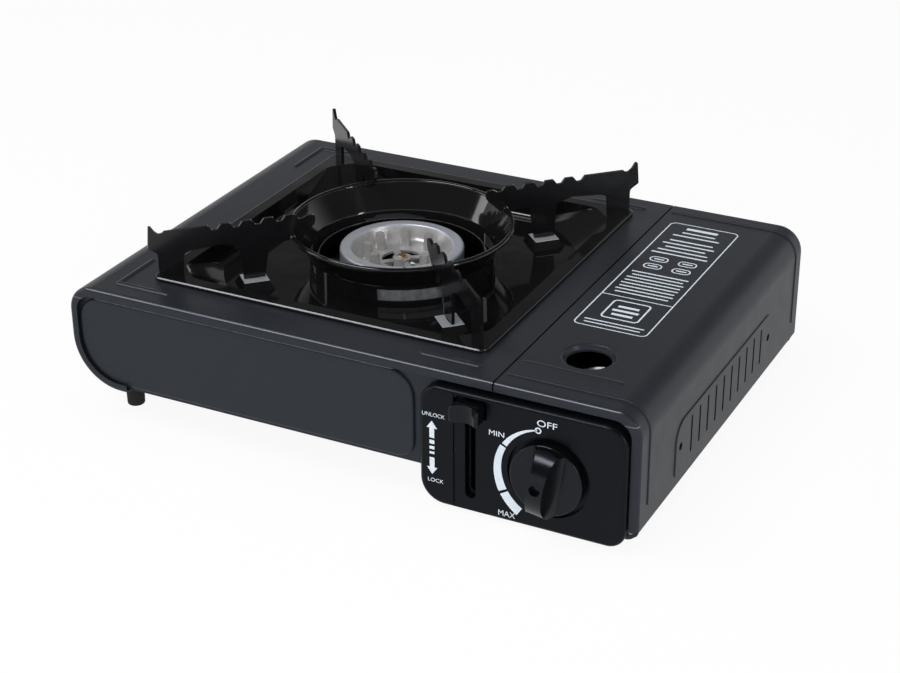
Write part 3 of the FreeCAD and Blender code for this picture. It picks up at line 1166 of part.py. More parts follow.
def drip_tray():
    """Enamelled tray: turned-down flange, round-cornered basin, raised collar and four pressed seats."""
    outer = prism_z(square(BASIN_HALF, BASIN_CORNER), BASIN_FLOOR - SHEET, TRAY_TOP)
    outer = outer.makeFillet(BASIN_TURN, edges_at(outer, 2, BASIN_FLOOR - SHEET)).common(scoop(0))
    flange = prism_z(square(TRAY_HALF, TRAY_CORNER), CASE_TOP + FIT, TRAY_TOP)
    flange = flange.makeFillet(1, edges_at(flange, 2, TRAY_TOP))
    under = prism_z(square(TRAY_HALF - SHEET, TRAY_CORNER - SHEET), CASE_TOP - 1, TRAY_TOP - SHEET)
    tray = flange.cut(under).fuse(outer)
    inner = prism_z(square(BASIN_HALF - SHEET, BASIN_CORNER - SHEET), BASIN_FLOOR, TRAY_TOP + 5)
    inner = inner.makeFillet(BASIN_TURN - SHEET, edges_at(inner, 2, BASIN_FLOOR)).common(scoop(SHEET))
    tray = tray.cut(inner)
    seat_middle = (INNER_LEG + INNER_LEG_OUTSIDE) / 2
    seat_top = BASIN_FLOOR + BUMP_HEIGHT
    for side_x in (-1, 1):
        for side_y in (-1, 1):
            tray = tray.fuse(seat_block(side_x, side_y, seat_middle, 0, BASIN_FLOOR - SHEET / 2, seat_top))
            tray = tray.cut(seat_block(side_x, side_y, seat_middle, SHEET, BASIN_FLOOR - 2 * SHEET,
                                       seat_top - SHEET))
            slot = tab_slot(side_x, side_y, seat_middle, seat_top)
            tray = tray.cut(slot)
    tray = tray.cut(rod(COLLAR_FOOT - SHEET, Vector(TRAY_X, TRAY_Y, BASIN_FLOOR - 2 * SHEET),
                        Vector(TRAY_X, TRAY_Y, CASE_TOP)))
    level = BASIN_FLOOR - SHEET / 2
    path = [(COLLAR_FOOT + 1, level, 0), (COLLAR_FOOT - SHEET / 2, level, 1.5),
            (COLLAR_EDGE + SHEET / 2, CASE_TOP - COLLAR_EDGE_DEPTH, 0)]
    collar = turned(strip(path, SHEET), Vector(TRAY_X, TRAY_Y, 0), ALONG_Z, ALONG_X)
    return tray.fuse(collar).removeSplitter()


def scoop(gap):
    """Cone around the burner that gives the basin its sloping corners, a gap inside the outer one."""
    low = BASIN_FLOOR - 2 * SHEET
    high = TRAY_TOP + 5
    foot = SCOOP_RADIUS - gap * math.hypot(1, SCOOP_SLOPE) + (low - BASIN_FLOOR) * SCOOP_SLOPE
    top = foot + (high - low) * SCOOP_SLOPE
    return Part.makeCone(foot, top, high - low, Vector(TRAY_X, TRAY_Y, low), ALONG_Z)


def seat_block(side_x, side_y, middle, gap, low, high):
    """Tapered block on a tray diagonal, from which a pressed seat for an arm's leg is made."""
    wires = []
    for level, spread in ((low, BUMP_SPREAD), (high, 0.0)):
        half_length = BUMP_LENGTH / 2 - gap + spread
        half_width = BUMP_WIDTH / 2 - gap + spread
        places = ((-half_length, -half_width), (half_length, -half_width), (half_length, half_width),
                  (-half_length, half_width))
        points = [Vector(middle + u, v, level) for u, v in places]
        wires.append(Part.makePolygon(points + [points[0]]))
    block = Part.makeLoft(wires, True, True)
    block.rotate(Vector(0, 0, 0), ALONG_Z, math.degrees(math.atan2(side_y, side_x)))
    block.translate(Vector(TRAY_X, TRAY_Y, 0))
    return block


def tab_slot(side_x, side_y, middle, level):
    """Slot in a tray seat for an arm's tab."""
    half = TAB_WIDTH / 2 + FIT
    thick = ARM_SHEET / 2 + FIT
    block = box(middle - half, middle + half, -thick, thick, level - 3, level + 3)
    block.rotate(Vector(0, 0, 0), ALONG_Z, math.degrees(math.atan2(side_y, side_x)))
    block.translate(Vector(TRAY_X, TRAY_Y, 0))
    return block


def wind_ring():
    """Spun ring around the burner: rolled rim, flared wall and a skirt with four air slots."""
    centre = Vector(TRAY_X, TRAY_Y, CASE_TOP)
    path = [(RING_SKIRT_RADIUS, -BASIN_DEPTH, 0), (RING_SKIRT_RADIUS, -1, 3),
            (RING_RIM_RADIUS - RING_ROLL + SHEET / 2, RING_RIM_RISE, 0)]
    ring = turned(strip(path, SHEET), centre, ALONG_Z, ALONG_X)
    roll = Part.makeTorus(RING_RIM_RADIUS, RING_ROLL, centre + ALONG_Z * RING_RIM_RISE, ALONG_Z)
    ring = ring.fuse(roll)
    high, low = RING_SLOT_DEPTHS
    for index in range(4):
        slot = turned(rectangle(RING_SKIRT_RADIUS - 3, RING_SKIRT_RADIUS + 3, -low, -high), centre, ALONG_Z,
                      ALONG_X, RING_SLOT_ANGLE)
        slot.rotate(centre, ALONG_Z, RING_SLOT_START + 90 * index)
        tab = box(RING_SKIRT_RADIUS, RING_SKIRT_RADIUS + RING_TAB_REACH, -RING_TAB_WIDTH / 2,
                  RING_TAB_WIDTH / 2, -RING_TAB_DEPTH, SHEET - RING_TAB_DEPTH)
        tab.rotate(Vector(0, 0, 0), ALONG_Z, RING_TAB_START + 90 * index)
        ring = ring.cut(slot).fuse(tab.translated(centre))
    return ring


def arm_corners():
    """Side view of a pan support arm: (distance from the burner, height above the cover, radius)."""
    leg_foot = BUMP_HEIGHT - BASIN_DEPTH
    corners = [(INNER_LEG_OUTSIDE, leg_foot, 0), *ARM_UNDERSIDE, (OUTER_LEG, TRAY_RISE, 0.5),
               (OUTER_LEG_OUTSIDE, TRAY_RISE, 0.5), *ARM_END]
    low_land = ARM_LAND - ARM_INNER_DROP
    for index in range(NOTCH_COUNT):
        middle = NOTCH_OUTERMOST - index * NOTCH_PITCH
        crest = ARM_LAND if index < NOTCH_COUNT - 1 else low_land
        corners += [(middle + NOTCH_TOP_HALF, ARM_LAND, 1),
                    (middle + NOTCH_FLOOR_HALF, ARM_LAND - NOTCH_DEPTH, 0.8),
                    (middle - NOTCH_FLOOR_HALF, ARM_LAND - NOTCH_DEPTH, 0.8),
                    (middle - NOTCH_TOP_HALF, crest, 1)]
    hook = RING_ROLL + FIT + SHEET / 2
    hook_foot = RING_RIM_RISE - FIT
    inside = RING_RIM_RADIUS - hook
    outside = RING_RIM_RADIUS + hook
    corners += [(ARM_INNER_END, low_land, 2), (ARM_INNER_END + 1, hook_foot + ARM_HOOK_HEIGHT, 2),
                (inside - 2, hook_foot, 0.8), (inside, hook_foot, 0.5), (inside, RING_RIM_RISE + hook, 1),
                (outside, RING_RIM_RISE + hook, 1), (outside, hook_foot, 0.5),
                (INNER_LEG - 3, hook_foot, 2), (INNER_LEG, leg_foot, 0)]
    return corners


def pan_arm(side_x, side_y):
    """Pan support arm: sheet steel plate on a diagonal, two legs, a tab into the tray's seat."""
    along = Vector(side_x, side_y, 0).normalize()
    across = Vector(-side_y, side_x, 0).normalize()
    origin = Vector(TRAY_X, TRAY_Y, CASE_TOP) - across * (ARM_SHEET / 2)
    plate = outline(arm_corners(), lambda u, v: origin + along * u + ALONG_Z * v)
    middle = (INNER_LEG + INNER_LEG_OUTSIDE) / 2
    level = BUMP_HEIGHT - BASIN_DEPTH
    tab = rectangle(middle - TAB_WIDTH / 2, middle + TAB_WIDTH / 2, level - TAB_LENGTH, level + 1)
    tab_face = outline(tab, lambda u, v: origin + along * u + ALONG_Z * v)
    arm = plate.extrude(across * ARM_SHEET).fuse(tab_face.extrude(across * ARM_SHEET))
    return arm.removeSplitter()


def foot(x, y, height):
    """Rubber foot, a little narrower at the bottom."""
    return turned([(0, 0, 0), (FOOT_RADIUS - 0.5, 0, 1), (FOOT_RADIUS, height, 0), (0, height, 0)],
                  Vector(x, y, 0), ALONG_Z, ALONG_X)


def left_foot(y):
    """Tall foot under the left side, shaped at its top to the cover's turned edge."""
    whole = foot(LEFT + FOOT_FROM_SIDE, y, BASE_UNDERSIDE)
    return whole.cut(prism_y(cover_corners(), FRONT, BACK))


PARTS = {
    "top_cover": top_cover, "base_case": base_case, "partition_plate": partition_plate,
    "heat_plate": heat_plate, "control_panel": control_panel, "panel_screws": panel_screws,
    "case_screws": case_screws, "hinge_pins": hinge_pins, "cartridge_lid": cartridge_lid,
    "knob": knob, "knob_spindle": knob_spindle, "ignition_cam": ignition_cam,
    "igniter_plunger": igniter_plunger, "piezo_igniter": piezo_igniter,
    "electrode": electrode, "electrode_insulator": electrode_insulator, "ignition_wire": ignition_wire,
    "lock_lever_cap": lock_lever_cap, "lock_lever_carrier": lock_lever_carrier,
    "cartridge_slide": cartridge_slide, "slide_guides": slide_guides,
    "regulator_body": regulator_body, "regulator_cap": regulator_cap, "gas_nozzle": gas_nozzle,
    "cartridge_collar": cartridge_collar, "socket_seal": socket_seal,
    "regulator_bracket": regulator_bracket, "regulator_screws": regulator_screws,
    "mixing_tube": mixing_tube, "burner_base": burner_base, "burner_head": burner_head,
    "burner_screw": burner_screw, "burner_bracket": burner_bracket,
    "drip_tray": drip_tray, "wind_ring": wind_ring,
}

os.makedirs("parts", exist_ok=True)
for name, make in PARTS.items():
    make().exportStep("parts/" + name + ".step")
for end, side_y, y in (("front", -1, FRONT + FOOT_FROM_FRONT), ("rear", 1, BACK - FOOT_FROM_FRONT)):
    pan_arm(-1, side_y).exportStep("parts/pan_arm_" + end + "_left.step")
    pan_arm(1, side_y).exportStep("parts/pan_arm_" + end + "_right.step")
    left_foot(y).exportStep("parts/foot_" + end + "_left.step")
    foot(RIGHT - FOOT_FROM_SIDE, y, FLOOR).exportStep("parts/foot_" + end + "_right.step")
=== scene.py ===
import bmesh
import bpy
import math
from mathutils import Matrix, Vector


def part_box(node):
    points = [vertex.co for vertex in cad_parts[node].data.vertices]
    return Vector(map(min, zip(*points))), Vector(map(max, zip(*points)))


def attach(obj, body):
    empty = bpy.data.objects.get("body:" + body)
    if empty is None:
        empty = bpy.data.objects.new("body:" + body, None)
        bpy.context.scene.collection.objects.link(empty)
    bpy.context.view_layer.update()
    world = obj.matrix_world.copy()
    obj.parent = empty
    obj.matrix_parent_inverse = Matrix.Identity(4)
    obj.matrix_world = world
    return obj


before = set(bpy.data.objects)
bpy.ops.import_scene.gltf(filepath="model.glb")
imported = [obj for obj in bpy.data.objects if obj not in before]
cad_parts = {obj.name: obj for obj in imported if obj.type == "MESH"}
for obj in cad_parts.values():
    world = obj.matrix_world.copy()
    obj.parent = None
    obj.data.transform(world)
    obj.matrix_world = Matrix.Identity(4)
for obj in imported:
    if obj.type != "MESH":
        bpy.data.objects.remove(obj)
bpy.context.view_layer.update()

# Lower case. Folded from thin steel sheet and sprayed satin black, with a raised field pressed into
# the front wall. The coat has a fine orange peel, and the sheet behind it is never quite flat.


class Signal:
    """Output of a shader node that takes part in plain arithmetic."""

    def __init__(self, finish, socket):
        self.finish = finish
        self.socket = socket

    def math(self, operation, first, second):
        return self.finish.node("ShaderNodeMath", {"operation": operation}, {0: first, 1: second})

    def __add__(self, other):
        return self.math("ADD", self, other)

    __radd__ = __add__

    def __sub__(self, other):
        return self.math("SUBTRACT", self, other)

    def __rsub__(self, other):
        return self.math("SUBTRACT", other, self)

    def __mul__(self, other):
        return self.math("MULTIPLY", self, other)

    __rmul__ = __mul__

    def __gt__(self, other):
        return self.math("GREATER_THAN", self, other)

    def __lt__(self, other):
        return self.math("LESS_THAN", self, other)


class Finish:
    """Nodes of one material, or of the room, and the Principled surface that they vary."""

    def __init__(self, owner, **constants):
        owner.use_nodes = True
        self.owner = owner
        self.tree = owner.node_tree
        self.surface = self.tree.nodes.get("Principled BSDF")
        for socket, value in constants.items():
            self.surface.inputs[socket.replace("_", " ")].default_value = value

    def node(self, kind, settings, sockets, output=0):
        """New node: its settings first, then a value or a link for each of its sockets."""
        made = self.tree.nodes.new(kind)
        for key, value in settings.items():
            setattr(made, key, value)
        for key, value in sockets.items():
            self.feed(made.inputs[key], value)
        return Signal(self, made.outputs[output])

    def feed(self, socket, value):
        """Links a signal to a socket, or sets the socket to a plain value."""
        if isinstance(value, Signal):
            self.tree.links.new(value.socket, socket)
        else:
            socket.default_value = value

    def place(self, stretch=(1.0, 1.0, 1.0)):
        """Point on the piece in metres, in the stove's own frame, stretched along each axis."""
        point = self.node("ShaderNodeTexCoord", {}, {}, "Object")
        if stretch == (1.0, 1.0, 1.0):
            return point
        return self.node("ShaderNodeVectorMath", {"operation": "MULTIPLY"}, {0: point, 1: stretch})

    def noise(self, size, detail=2.0, stretch=(1.0, 1.0, 1.0)):
        """Soft mottling from 0 to 1, with patches of about the given size in metres."""
        return self.node("ShaderNodeTexNoise", {},
                         {"Vector": self.place(stretch), "Scale": 1.0 / size, "Detail": detail})

    def specks(self, spacing, radius, share):
        """1 on round specks of the given radius, and only in a share of the cells."""
        cells = {"Vector": self.place(), "Scale": 1.0 / spacing}
        near = self.node("ShaderNodeTexVoronoi", {}, cells, "Distance")
        pick = self.node("ShaderNodeSeparateColor", {},
                         {"Color": self.node("ShaderNodeTexVoronoi", {}, cells, "Color")}, "Red")
        return (near < radius / spacing) * (pick > 1.0 - share)

    def blend(self, factor, low, high):
        """Colour between two colours. A Mix node's colour sockets are its inputs 6 and 7."""
        low, high = (value if isinstance(value, Signal) else (*value, 1.0) for value in (low, high))
        return self.node("ShaderNodeMix", {"data_type": "RGBA"}, {0: factor, 6: low, 7: high}, 2)

    def level(self, value, low, high):
        """A signal from 0 to 1 stretched over a new range."""
        return value * (high - low) + low

    def colour(self, value):
        self.feed(self.surface.inputs["Base Color"], value)

    def roughness(self, value):
        self.feed(self.surface.inputs["Roughness"], value)

    def relief(self, height, depth):
        """Bump whose height signal of 1 stands the given depth in metres proud."""
        bump = self.node("ShaderNodeBump", {}, {"Height": height, "Strength": 1.0, "Distance": depth})
        self.feed(self.surface.inputs["Normal"], bump)


def new_finish(name, **constants):
    """New material with constants on the sockets of its surface."""
    return Finish(bpy.data.materials.new(name), **constants)


def dress(finish, *nodes):
    """Puts one finish on CAD pieces, which keep their shape and place."""
    for name in nodes:
        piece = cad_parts[name]
        piece.data.materials.clear()
        piece.data.materials.append(finish.owner)


def axis_of(finish, axis):
    """One part of the place on the stove: X, Y or Z."""
    return finish.node("ShaderNodeSeparateXYZ", {}, {"Vector": finish.place()}, axis)


def along_front(finish, front, height, depth, half):
    """1 on a thin level line along a front edge, with breaks in it."""
    y, z = axis_of(finish, "Y"), axis_of(finish, "Z")
    broken = finish.level(finish.noise(size=0.02, detail=3.0), 0.5, 1.0)
    return (y < front + depth) * (z > height - half) * (z < height + half) * broken


# Painted highlights: fine pale lines along the cover's front edge and along the raised field's, where
# their rounded edges catch the light.
cover_front, field_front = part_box("top_cover")[0][1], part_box("base_case")[0][1]
cover_line, field_line, line_depth, line_half = 0.0783, 0.0721, 0.0013, 0.00016
coat_dark, coat_pale = (0.0110, 0.0124, 0.0160), (0.0146, 0.0164, 0.0210)
coat_fleck, coat_dust, coat_highlight = (0.023, 0.026, 0.033), (0.16, 0.165, 0.175), (0.26, 0.265, 0.28)
fleck_share, dust_share, highlight_share = 0.35, 0.5, 0.8
peel_share, sheet_wave = 0.05, 0.00028
cool_gloss = (0.80, 0.88, 1.0, 1.0)


def coated_sheet():
    """Sprayed coat: cloudy black with pale flecks and dust, painted highlight lines along two front edges,
    orange peel and a wavy sheet below.
    """
    coat = new_finish("satin_black_coat", Specular_IOR_Level=0.42, Specular_Tint=cool_gloss)
    cloud = coat.noise(size=0.05, detail=3.0)
    fleck = coat.noise(size=0.0016, detail=2.0)
    dust = coat.specks(spacing=0.014, radius=0.00028, share=0.12)
    body = coat.blend(cloud, coat_dark, coat_pale)
    body = coat.blend(fleck * fleck_share, body, coat_fleck)
    body = coat.blend(dust * dust_share, body, coat_dust)
    # Painted highlight: pale broken lines on the front edges of the cover and of the raised field.
    painted_highlight = (along_front(coat, cover_front, cover_line, line_depth, line_half)
              + along_front(coat, field_front, field_line, line_depth, line_half))
    coat.colour(coat.blend(painted_highlight * highlight_share, body, coat_highlight))
    coat.roughness(coat.level(coat.noise(size=0.012, detail=3.0), 0.30, 0.40))
    peel = coat.noise(size=0.0011, detail=2.0)
    wave = coat.noise(size=0.06, detail=1.0)
    coat.relief(peel * peel_share + wave, sheet_wave)
    return coat


satin_black = coated_sheet()
dress(satin_black, "base_case")

# Top cover. One folded sheet that wraps round the left side under the base, with corner ridges
# pressed beside the tray, in the same sprayed coat as the case.

dress(satin_black, "top_cover")

# Cartridge lid. Pressed sheet with a dished finger hole, ridges and vent slots, hinged at the lower
# right. A white print of a rounded frame with plain bars stands on its top.

dress(satin_black, "cartridge_lid")
ink_thickness, ink_grain, thinned_share = 0.00004, 0.00001, 0.88


def ink(name, colour):
    """Screen print: an even opaque film that breaks up a little at a fine scale."""
    printed = new_finish(name, Specular_IOR_Level=0.4)
    wear = printed.noise(size=0.0009, detail=2.0)
    thinned = tuple(thinned_share * part for part in colour)
    printed.colour(printed.blend(wear, thinned, colour))
    printed.roughness(printed.level(wear, 0.42, 0.58))
    printed.relief(wear, ink_grain)
    return printed


def add_piece(name, mesh, finish, body):
    """New piece from a mesh, riding on a body."""
    mesh.materials.clear()
    mesh.materials.append(finish.owner)
    piece = bpy.data.objects.new(name, mesh)
    bpy.context.collection.objects.link(piece)
    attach(piece, body)
    return piece


def film(name, outlines, place, thickness):
    """Mesh of thin closed plates from flat (u, v) outlines; place maps (u, v, depth) to the frame."""
    build = bmesh.new()
    for outline in outlines:
        low = [build.verts.new(place(u, v, 0.0)) for u, v in outline]
        high = [build.verts.new(place(u, v, thickness)) for u, v in outline]
        build.faces.new(low)
        build.faces.new(high[::-1])
        for index in range(len(outline)):
            following = (index + 1) % len(outline)
            build.faces.new((low[following], low[index], high[index], high[following]))
    bmesh.ops.recalc_face_normals(build, faces=build.faces)
    mesh = bpy.data.meshes.new(name)
    build.to_mesh(mesh)
    build.free()
    return mesh


def round_frame(low, high, radius, width, steps=8):
    """Quads of a closed line with rounded corners, from (u, v) corner to corner."""
    centres = [(high[0] - radius, high[1] - radius, 0), (low[0] + radius, high[1] - radius, 90),
               (low[0] + radius, low[1] + radius, 180), (high[0] - radius, low[1] + radius, 270)]
    rails = []
    for u, v, start in centres:
        for step in range(steps + 1):
            turn = math.radians(start + 90 * step / steps)
            rails.append([(u + math.cos(turn) * reach, v + math.sin(turn) * reach)
                          for reach in (radius - width, radius)])
    return [[rails[i][0], rails[i][1], rails[(i + 1) % len(rails)][1], rails[(i + 1) % len(rails)][0]]
            for i in range(len(rails))]


def bar(low, high):
    """Rectangle from corner to corner."""
    return [(low[0], low[1]), (high[0], low[1]), (high[0], high[1]), (low[0], high[1])]


ridge_rise = 0.0006
lid_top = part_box("cartridge_lid")[1][2] - ridge_rise
white_ink = ink("white_print", (0.66, 0.73, 0.80))
label_low, label_high = (0.098, -0.035), (0.140, 0.112)
label_radius, label_line, divider = 0.0038, 0.0007, 0.005
label_middle = (label_low[0] + label_high[0]) / 2
marks = round_frame(label_low, label_high, label_radius, label_line)
marks.append(bar((label_low[0] + label_line, divider), (label_high[0] - label_line, divider + label_line)))


def centred_bars(first, pitch, height, lengths):
    """Bars across the middle of the label, one behind the other."""
    bars = []
    for row, length in enumerate(lengths):
        base = first + row * pitch
        bars.append(bar((label_middle - length / 2, base), (label_middle + length / 2, base + height)))
    return bars


# Bars in the place of text, from the front to the rear. Each group has the place of its first bar,
# the pitch, the height of a bar and the bars' lengths.
bar_groups = [(-0.0310, 0.0034, 0.0010, [0.0320, 0.0340]),
              (-0.0175, 0.0050, 0.0022, [0.0120, 0.0150, 0.0120]),
              (0.0105, 0.0040, 0.0012, [0.0310, 0.0335, 0.0320, 0.0335, 0.0325, 0.0335, 0.0300, 0.0335]),
              (0.0680, 0.0048, 0.0014, [0.0335, 0.0300, 0.0240, 0.0310, 0.0260]),
              (0.0945, 0.0048, 0.0014, [0.0280, 0.0200]),
              (0.1045, 0.0048, 0.0028, [0.0190])]
for first, pitch, height, lengths in bar_groups:
    marks += centred_bars(first, pitch, height, lengths)

# A rounded frame round the second group, and four small ones in two rows, each with a dash in it.
sign_half, sign_front, sign_rear, sign_radius, sign_line = 0.0110, -0.0220, 0.0010, 0.0030, 0.0010
marks += round_frame((label_middle - sign_half, sign_front), (label_middle + sign_half, sign_rear),
                     sign_radius, sign_line)
block_rows, block_side, block_half, block_height = (0.0460, 0.0560), 0.0085, 0.0055, 0.0066
block_radius, block_line = 0.0030, 0.0008
dash_inset, dash_front, dash_rear = 0.0025, 0.0028, 0.0040
for row in block_rows:
    for middle in (label_middle - block_side, label_middle + block_side):
        left, right = middle - block_half, middle + block_half
        marks += round_frame((left, row), (right, row + block_height), block_radius, block_line)
        marks.append(bar((left + dash_inset, row + dash_front), (right - dash_inset, row + dash_rear)))


def on_lid(u, v, depth):
    """Place on the lid's flat top, a depth of ink above it."""
    return Vector((u, v, lid_top + depth))


add_piece("lid_print", film("lid_print", marks, on_lid, ink_thickness), white_ink, "lid")

# Control panel. One moulding in fine-grained black plastic with a round recess for the knob, a
# channel for the lever and rounded edges, screwed on from inside. Scale and words are printed on it.

plastic_dust, roughness_swing = (0.14, 0.145, 0.15), 0.05


def moulding(name, low, high, roughness, grain, depth, mirror):
    """Black plastic between two tones, with a grain of the given size and depth, and some dust."""
    plastic = new_finish(name, Specular_IOR_Level=mirror, Specular_Tint=cool_gloss)
    tone = plastic.blend(plastic.noise(size=0.03, detail=3.0), low, high)
    dust = (plastic.specks(spacing=0.0065, radius=0.00022, share=0.22)
            + plastic.specks(spacing=0.017, radius=0.0004, share=0.12))
    plastic.colour(plastic.blend(dust * dust_share, tone, plastic_dust))
    handled = plastic.noise(size=0.008, detail=3.0)
    plastic.roughness(plastic.level(handled, roughness - roughness_swing, roughness + roughness_swing))
    plastic.relief(plastic.noise(size=grain, detail=2.0), depth)
    return plastic


panel_black = moulding("grained_black_moulding", low=(0.0020, 0.0022, 0.0030),
                       high=(0.0034, 0.0037, 0.0048), roughness=0.30, grain=0.0006, depth=0.00002,
                       mirror=0.22)
dress(panel_black, "control_panel")

panel_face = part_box("control_panel")[0][1]
knob_low, knob_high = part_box("knob")
dial = ((knob_low[0] + knob_high[0]) / 2, (knob_low[2] + knob_high[2]) / 2)


def on_panel(u, v, depth):
    """Place on the panel's face, a depth of ink before it."""
    return Vector((u, panel_face - depth, v))


def dial_point(turn, radius):
    """Point at an angle to the left of the dial's top."""
    return dial[0] - radius * math.sin(math.radians(turn)), dial[1] + radius * math.cos(math.radians(turn))


# Each stretch of the scale: its two ends in degrees, and the line's width at each end.
scale_inner, scale_step = 0.0262, 3.0
stretches = ((14.0, 62.0, 0.0006, 0.0030), (64.5, 118.5, 0.0034, 0.0050), (121.5, 147.0, 0.0050, 0.0055))
panel_marks = []
for start, end, collar_grey, thick in stretches:
    steps = round((end - start) / scale_step)
    rungs = []
    for step in range(steps + 1):
        turn = start + (end - start) * step / steps
        outer = scale_inner + collar_grey + (thick - collar_grey) * step / steps
        rungs.append((dial_point(turn, scale_inner), dial_point(turn, outer)))
    panel_marks += [[near[0], near[1], far[1], far[0]] for near, far in zip(rungs, rungs[1:])]
# A small ring at the scale's thin end, beside OFF.
off_spot, off_outer, off_inner, off_steps = (0.1171, 0.0604), 0.0018, 0.0011, 16
for step in range(off_steps):
    near, far = math.tau * step / off_steps, math.tau * (step + 1) / off_steps
    corners = ((off_inner, near), (off_outer, near), (off_outer, far), (off_inner, far))
    panel_marks.append([(off_spot[0] + radius * math.cos(turn), off_spot[1] + radius * math.sin(turn))
                        for radius, turn in corners])
# Two arrows, each with the heights of its tip and its tail, and between them three short blocks,
# each with its middle and its half height.
arrow_x, arrow_half, shaft_half, arrow_head = 0.0575, 0.0030, 0.0014, 0.0042
arrows = ((0.0513, 0.0413), (0.0197, 0.0297))
arrow_blocks = ((0.0389, 0.0011), (0.0355, 0.0009), (0.0325, 0.0007))
shaft_left, shaft_right = arrow_x - shaft_half, arrow_x + shaft_half
for tip, tail in arrows:
    neck = tip - math.copysign(arrow_head, tip - tail)
    panel_marks.append([(arrow_x - arrow_half, neck), (arrow_x + arrow_half, neck), (arrow_x, tip)])
    panel_marks.append(bar((shaft_left, min(neck, tail)), (shaft_right, max(neck, tail))))
for middle, half in arrow_blocks:
    panel_marks.append(bar((shaft_left, middle - half), (shaft_right, middle + half)))
add_piece("panel_scale", film("panel_scale", panel_marks, on_panel, ink_thickness), white_ink, "root")


def lettering(name, word, left, right, base, height):
    """Word printed on the panel, fitted between two edges."""
    text = bpy.data.curves.new(name, "FONT")
    text.body = word
    text.extrude = ink_thickness / 2
    holder = bpy.data.objects.new(name + "_curve", text)
    mesh = bpy.data.meshes.new_from_object(holder)
    bpy.data.objects.remove(holder)
    low = Vector([min(v.co[i] for v in mesh.vertices) for i in range(3)])
    high = Vector([max(v.co[i] for v in mesh.vertices) for i in range(3)])
    for vertex in mesh.vertices:
        share = [(vertex.co[i] - low[i]) / (high[i] - low[i]) for i in range(3)]
        vertex.co = on_panel(left + share[0] * (right - left), base + share[1] * height,
                             share[2] * ink_thickness)
    mesh.update()
    add_piece(name, mesh, white_ink, "root")


# Each word with its left and right edges, its foot and the height of its letters.
words = (("OFF", 0.1165, 0.1274, 0.0630, 0.0036),
         ("MIN", 0.0900, 0.0985, 0.0515, 0.0030),
         ("MAX", 0.0955, 0.1050, 0.0055, 0.0032),
         ("UNLOCK", 0.0520, 0.0650, 0.0538, 0.0022),
         ("LOCK", 0.0550, 0.0640, 0.0153, 0.0022))
for word, left, right, base, height in words:
    lettering("print_" + word.lower(), word, left, right, base, height)

# Gas knob. Smooth black moulding with a raised grip, pressed on the steel spindle, which carries
# the ignition cam behind the front wall.

knob_black = moulding("smooth_black_moulding", low=(0.0018, 0.0020, 0.0026),
                      high=(0.0030, 0.0032, 0.0040), roughness=0.17, grain=0.004, depth=0.00002,
                      mirror=0.40)
dress(knob_black, "knob")

# Lock lever. A moulded thumb piece that slides down the panel's channel, on a steel carrier whose
# pin draws the cartridge slide forward.

dress(knob_black, "lock_lever_cap")

# Drip tray. Deep pressed steel tray in glossy black vitreous enamel, with turned-down edges, a
# collar round the burner and four pressed seats for the arms.

enamel_dark, enamel_pale = (0.0040, 0.0040, 0.0045), (0.0065, 0.0065, 0.0075)
enamel_pit, pit_share, ripple_share = (0.07, 0.07, 0.075), 0.4, 0.015
# Pale grey for the painted highlights on the tray's seats and flange edge, also used for the collar's
# tone.
pale_grey, pale_roughness = (0.34, 0.36, 0.38), 0.45


def enamel(name, roughness, wave, pale_mask=None):
    """Fired glass coat. Where the pale mask is 1, it turns a duller pale grey, as used for painted
    highlights.
    """
    glass = new_finish(name, Specular_IOR_Level=0.6)
    black = glass.blend(glass.noise(size=0.03, detail=3.0), enamel_dark, enamel_pale)
    pits = glass.specks(spacing=0.008, radius=0.0003, share=0.15)
    coat = glass.blend(pits * pit_share, black, enamel_pit)
    smooth = glass.level(glass.noise(size=0.010, detail=3.0), roughness - 0.03, roughness + 0.04)
    if pale_mask is not None:
        paled = pale_mask(glass)
        coat = glass.blend(paled, coat, pale_grey)
        smooth = smooth * (1.0 - paled) + paled * pale_roughness
    glass.colour(coat)
    glass.roughness(smooth)
    ripple = glass.noise(size=0.0015, detail=1.0)
    glass.relief(glass.noise(size=0.022, detail=1.0) + ripple * ripple_share, wave)
    return glass


burner_low, burner_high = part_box("burner_head")
burner = (Vector(burner_low) + Vector(burner_high)) / 2
tray_low, tray_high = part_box("drip_tray")


def from_burner(finish):
    """Distance of a point from the burner's axis."""
    out = finish.node("ShaderNodeVectorMath", {"operation": "SUBTRACT"},
                      {0: finish.place(), 1: (burner.x, burner.y, 0.0)})
    flat = finish.node("ShaderNodeVectorMath", {"operation": "MULTIPLY"}, {0: out, 1: (1.0, 1.0, 0.0)})
    return finish.node("ShaderNodeVectorMath", {"operation": "LENGTH"}, {0: flat}, "Value")


# The four seats are level, at one height under the tray's top, in a band round the burner.
seat_drop, seat_reach, seat_near, seat_far = 0.0093, 0.0004, 0.0790, 0.0950
seat_level = tray_high[2] - seat_drop
# The collar leans inward as it rises. Its outer face lies beyond the reach less the lean's share of
# the height, within the foot's radius and above its low end.
collar_lean, collar_reach, collar_foot, collar_low = 0.47, 0.0831, 0.0526, 0.0675
# A painted highlight lies along the flange's front edge, on a thin level line just under the tray's top.
tray_front, flange_half, flange_depth = tray_low[1], 0.00028, 0.0008
flange_level = tray_high[2] - flange_half


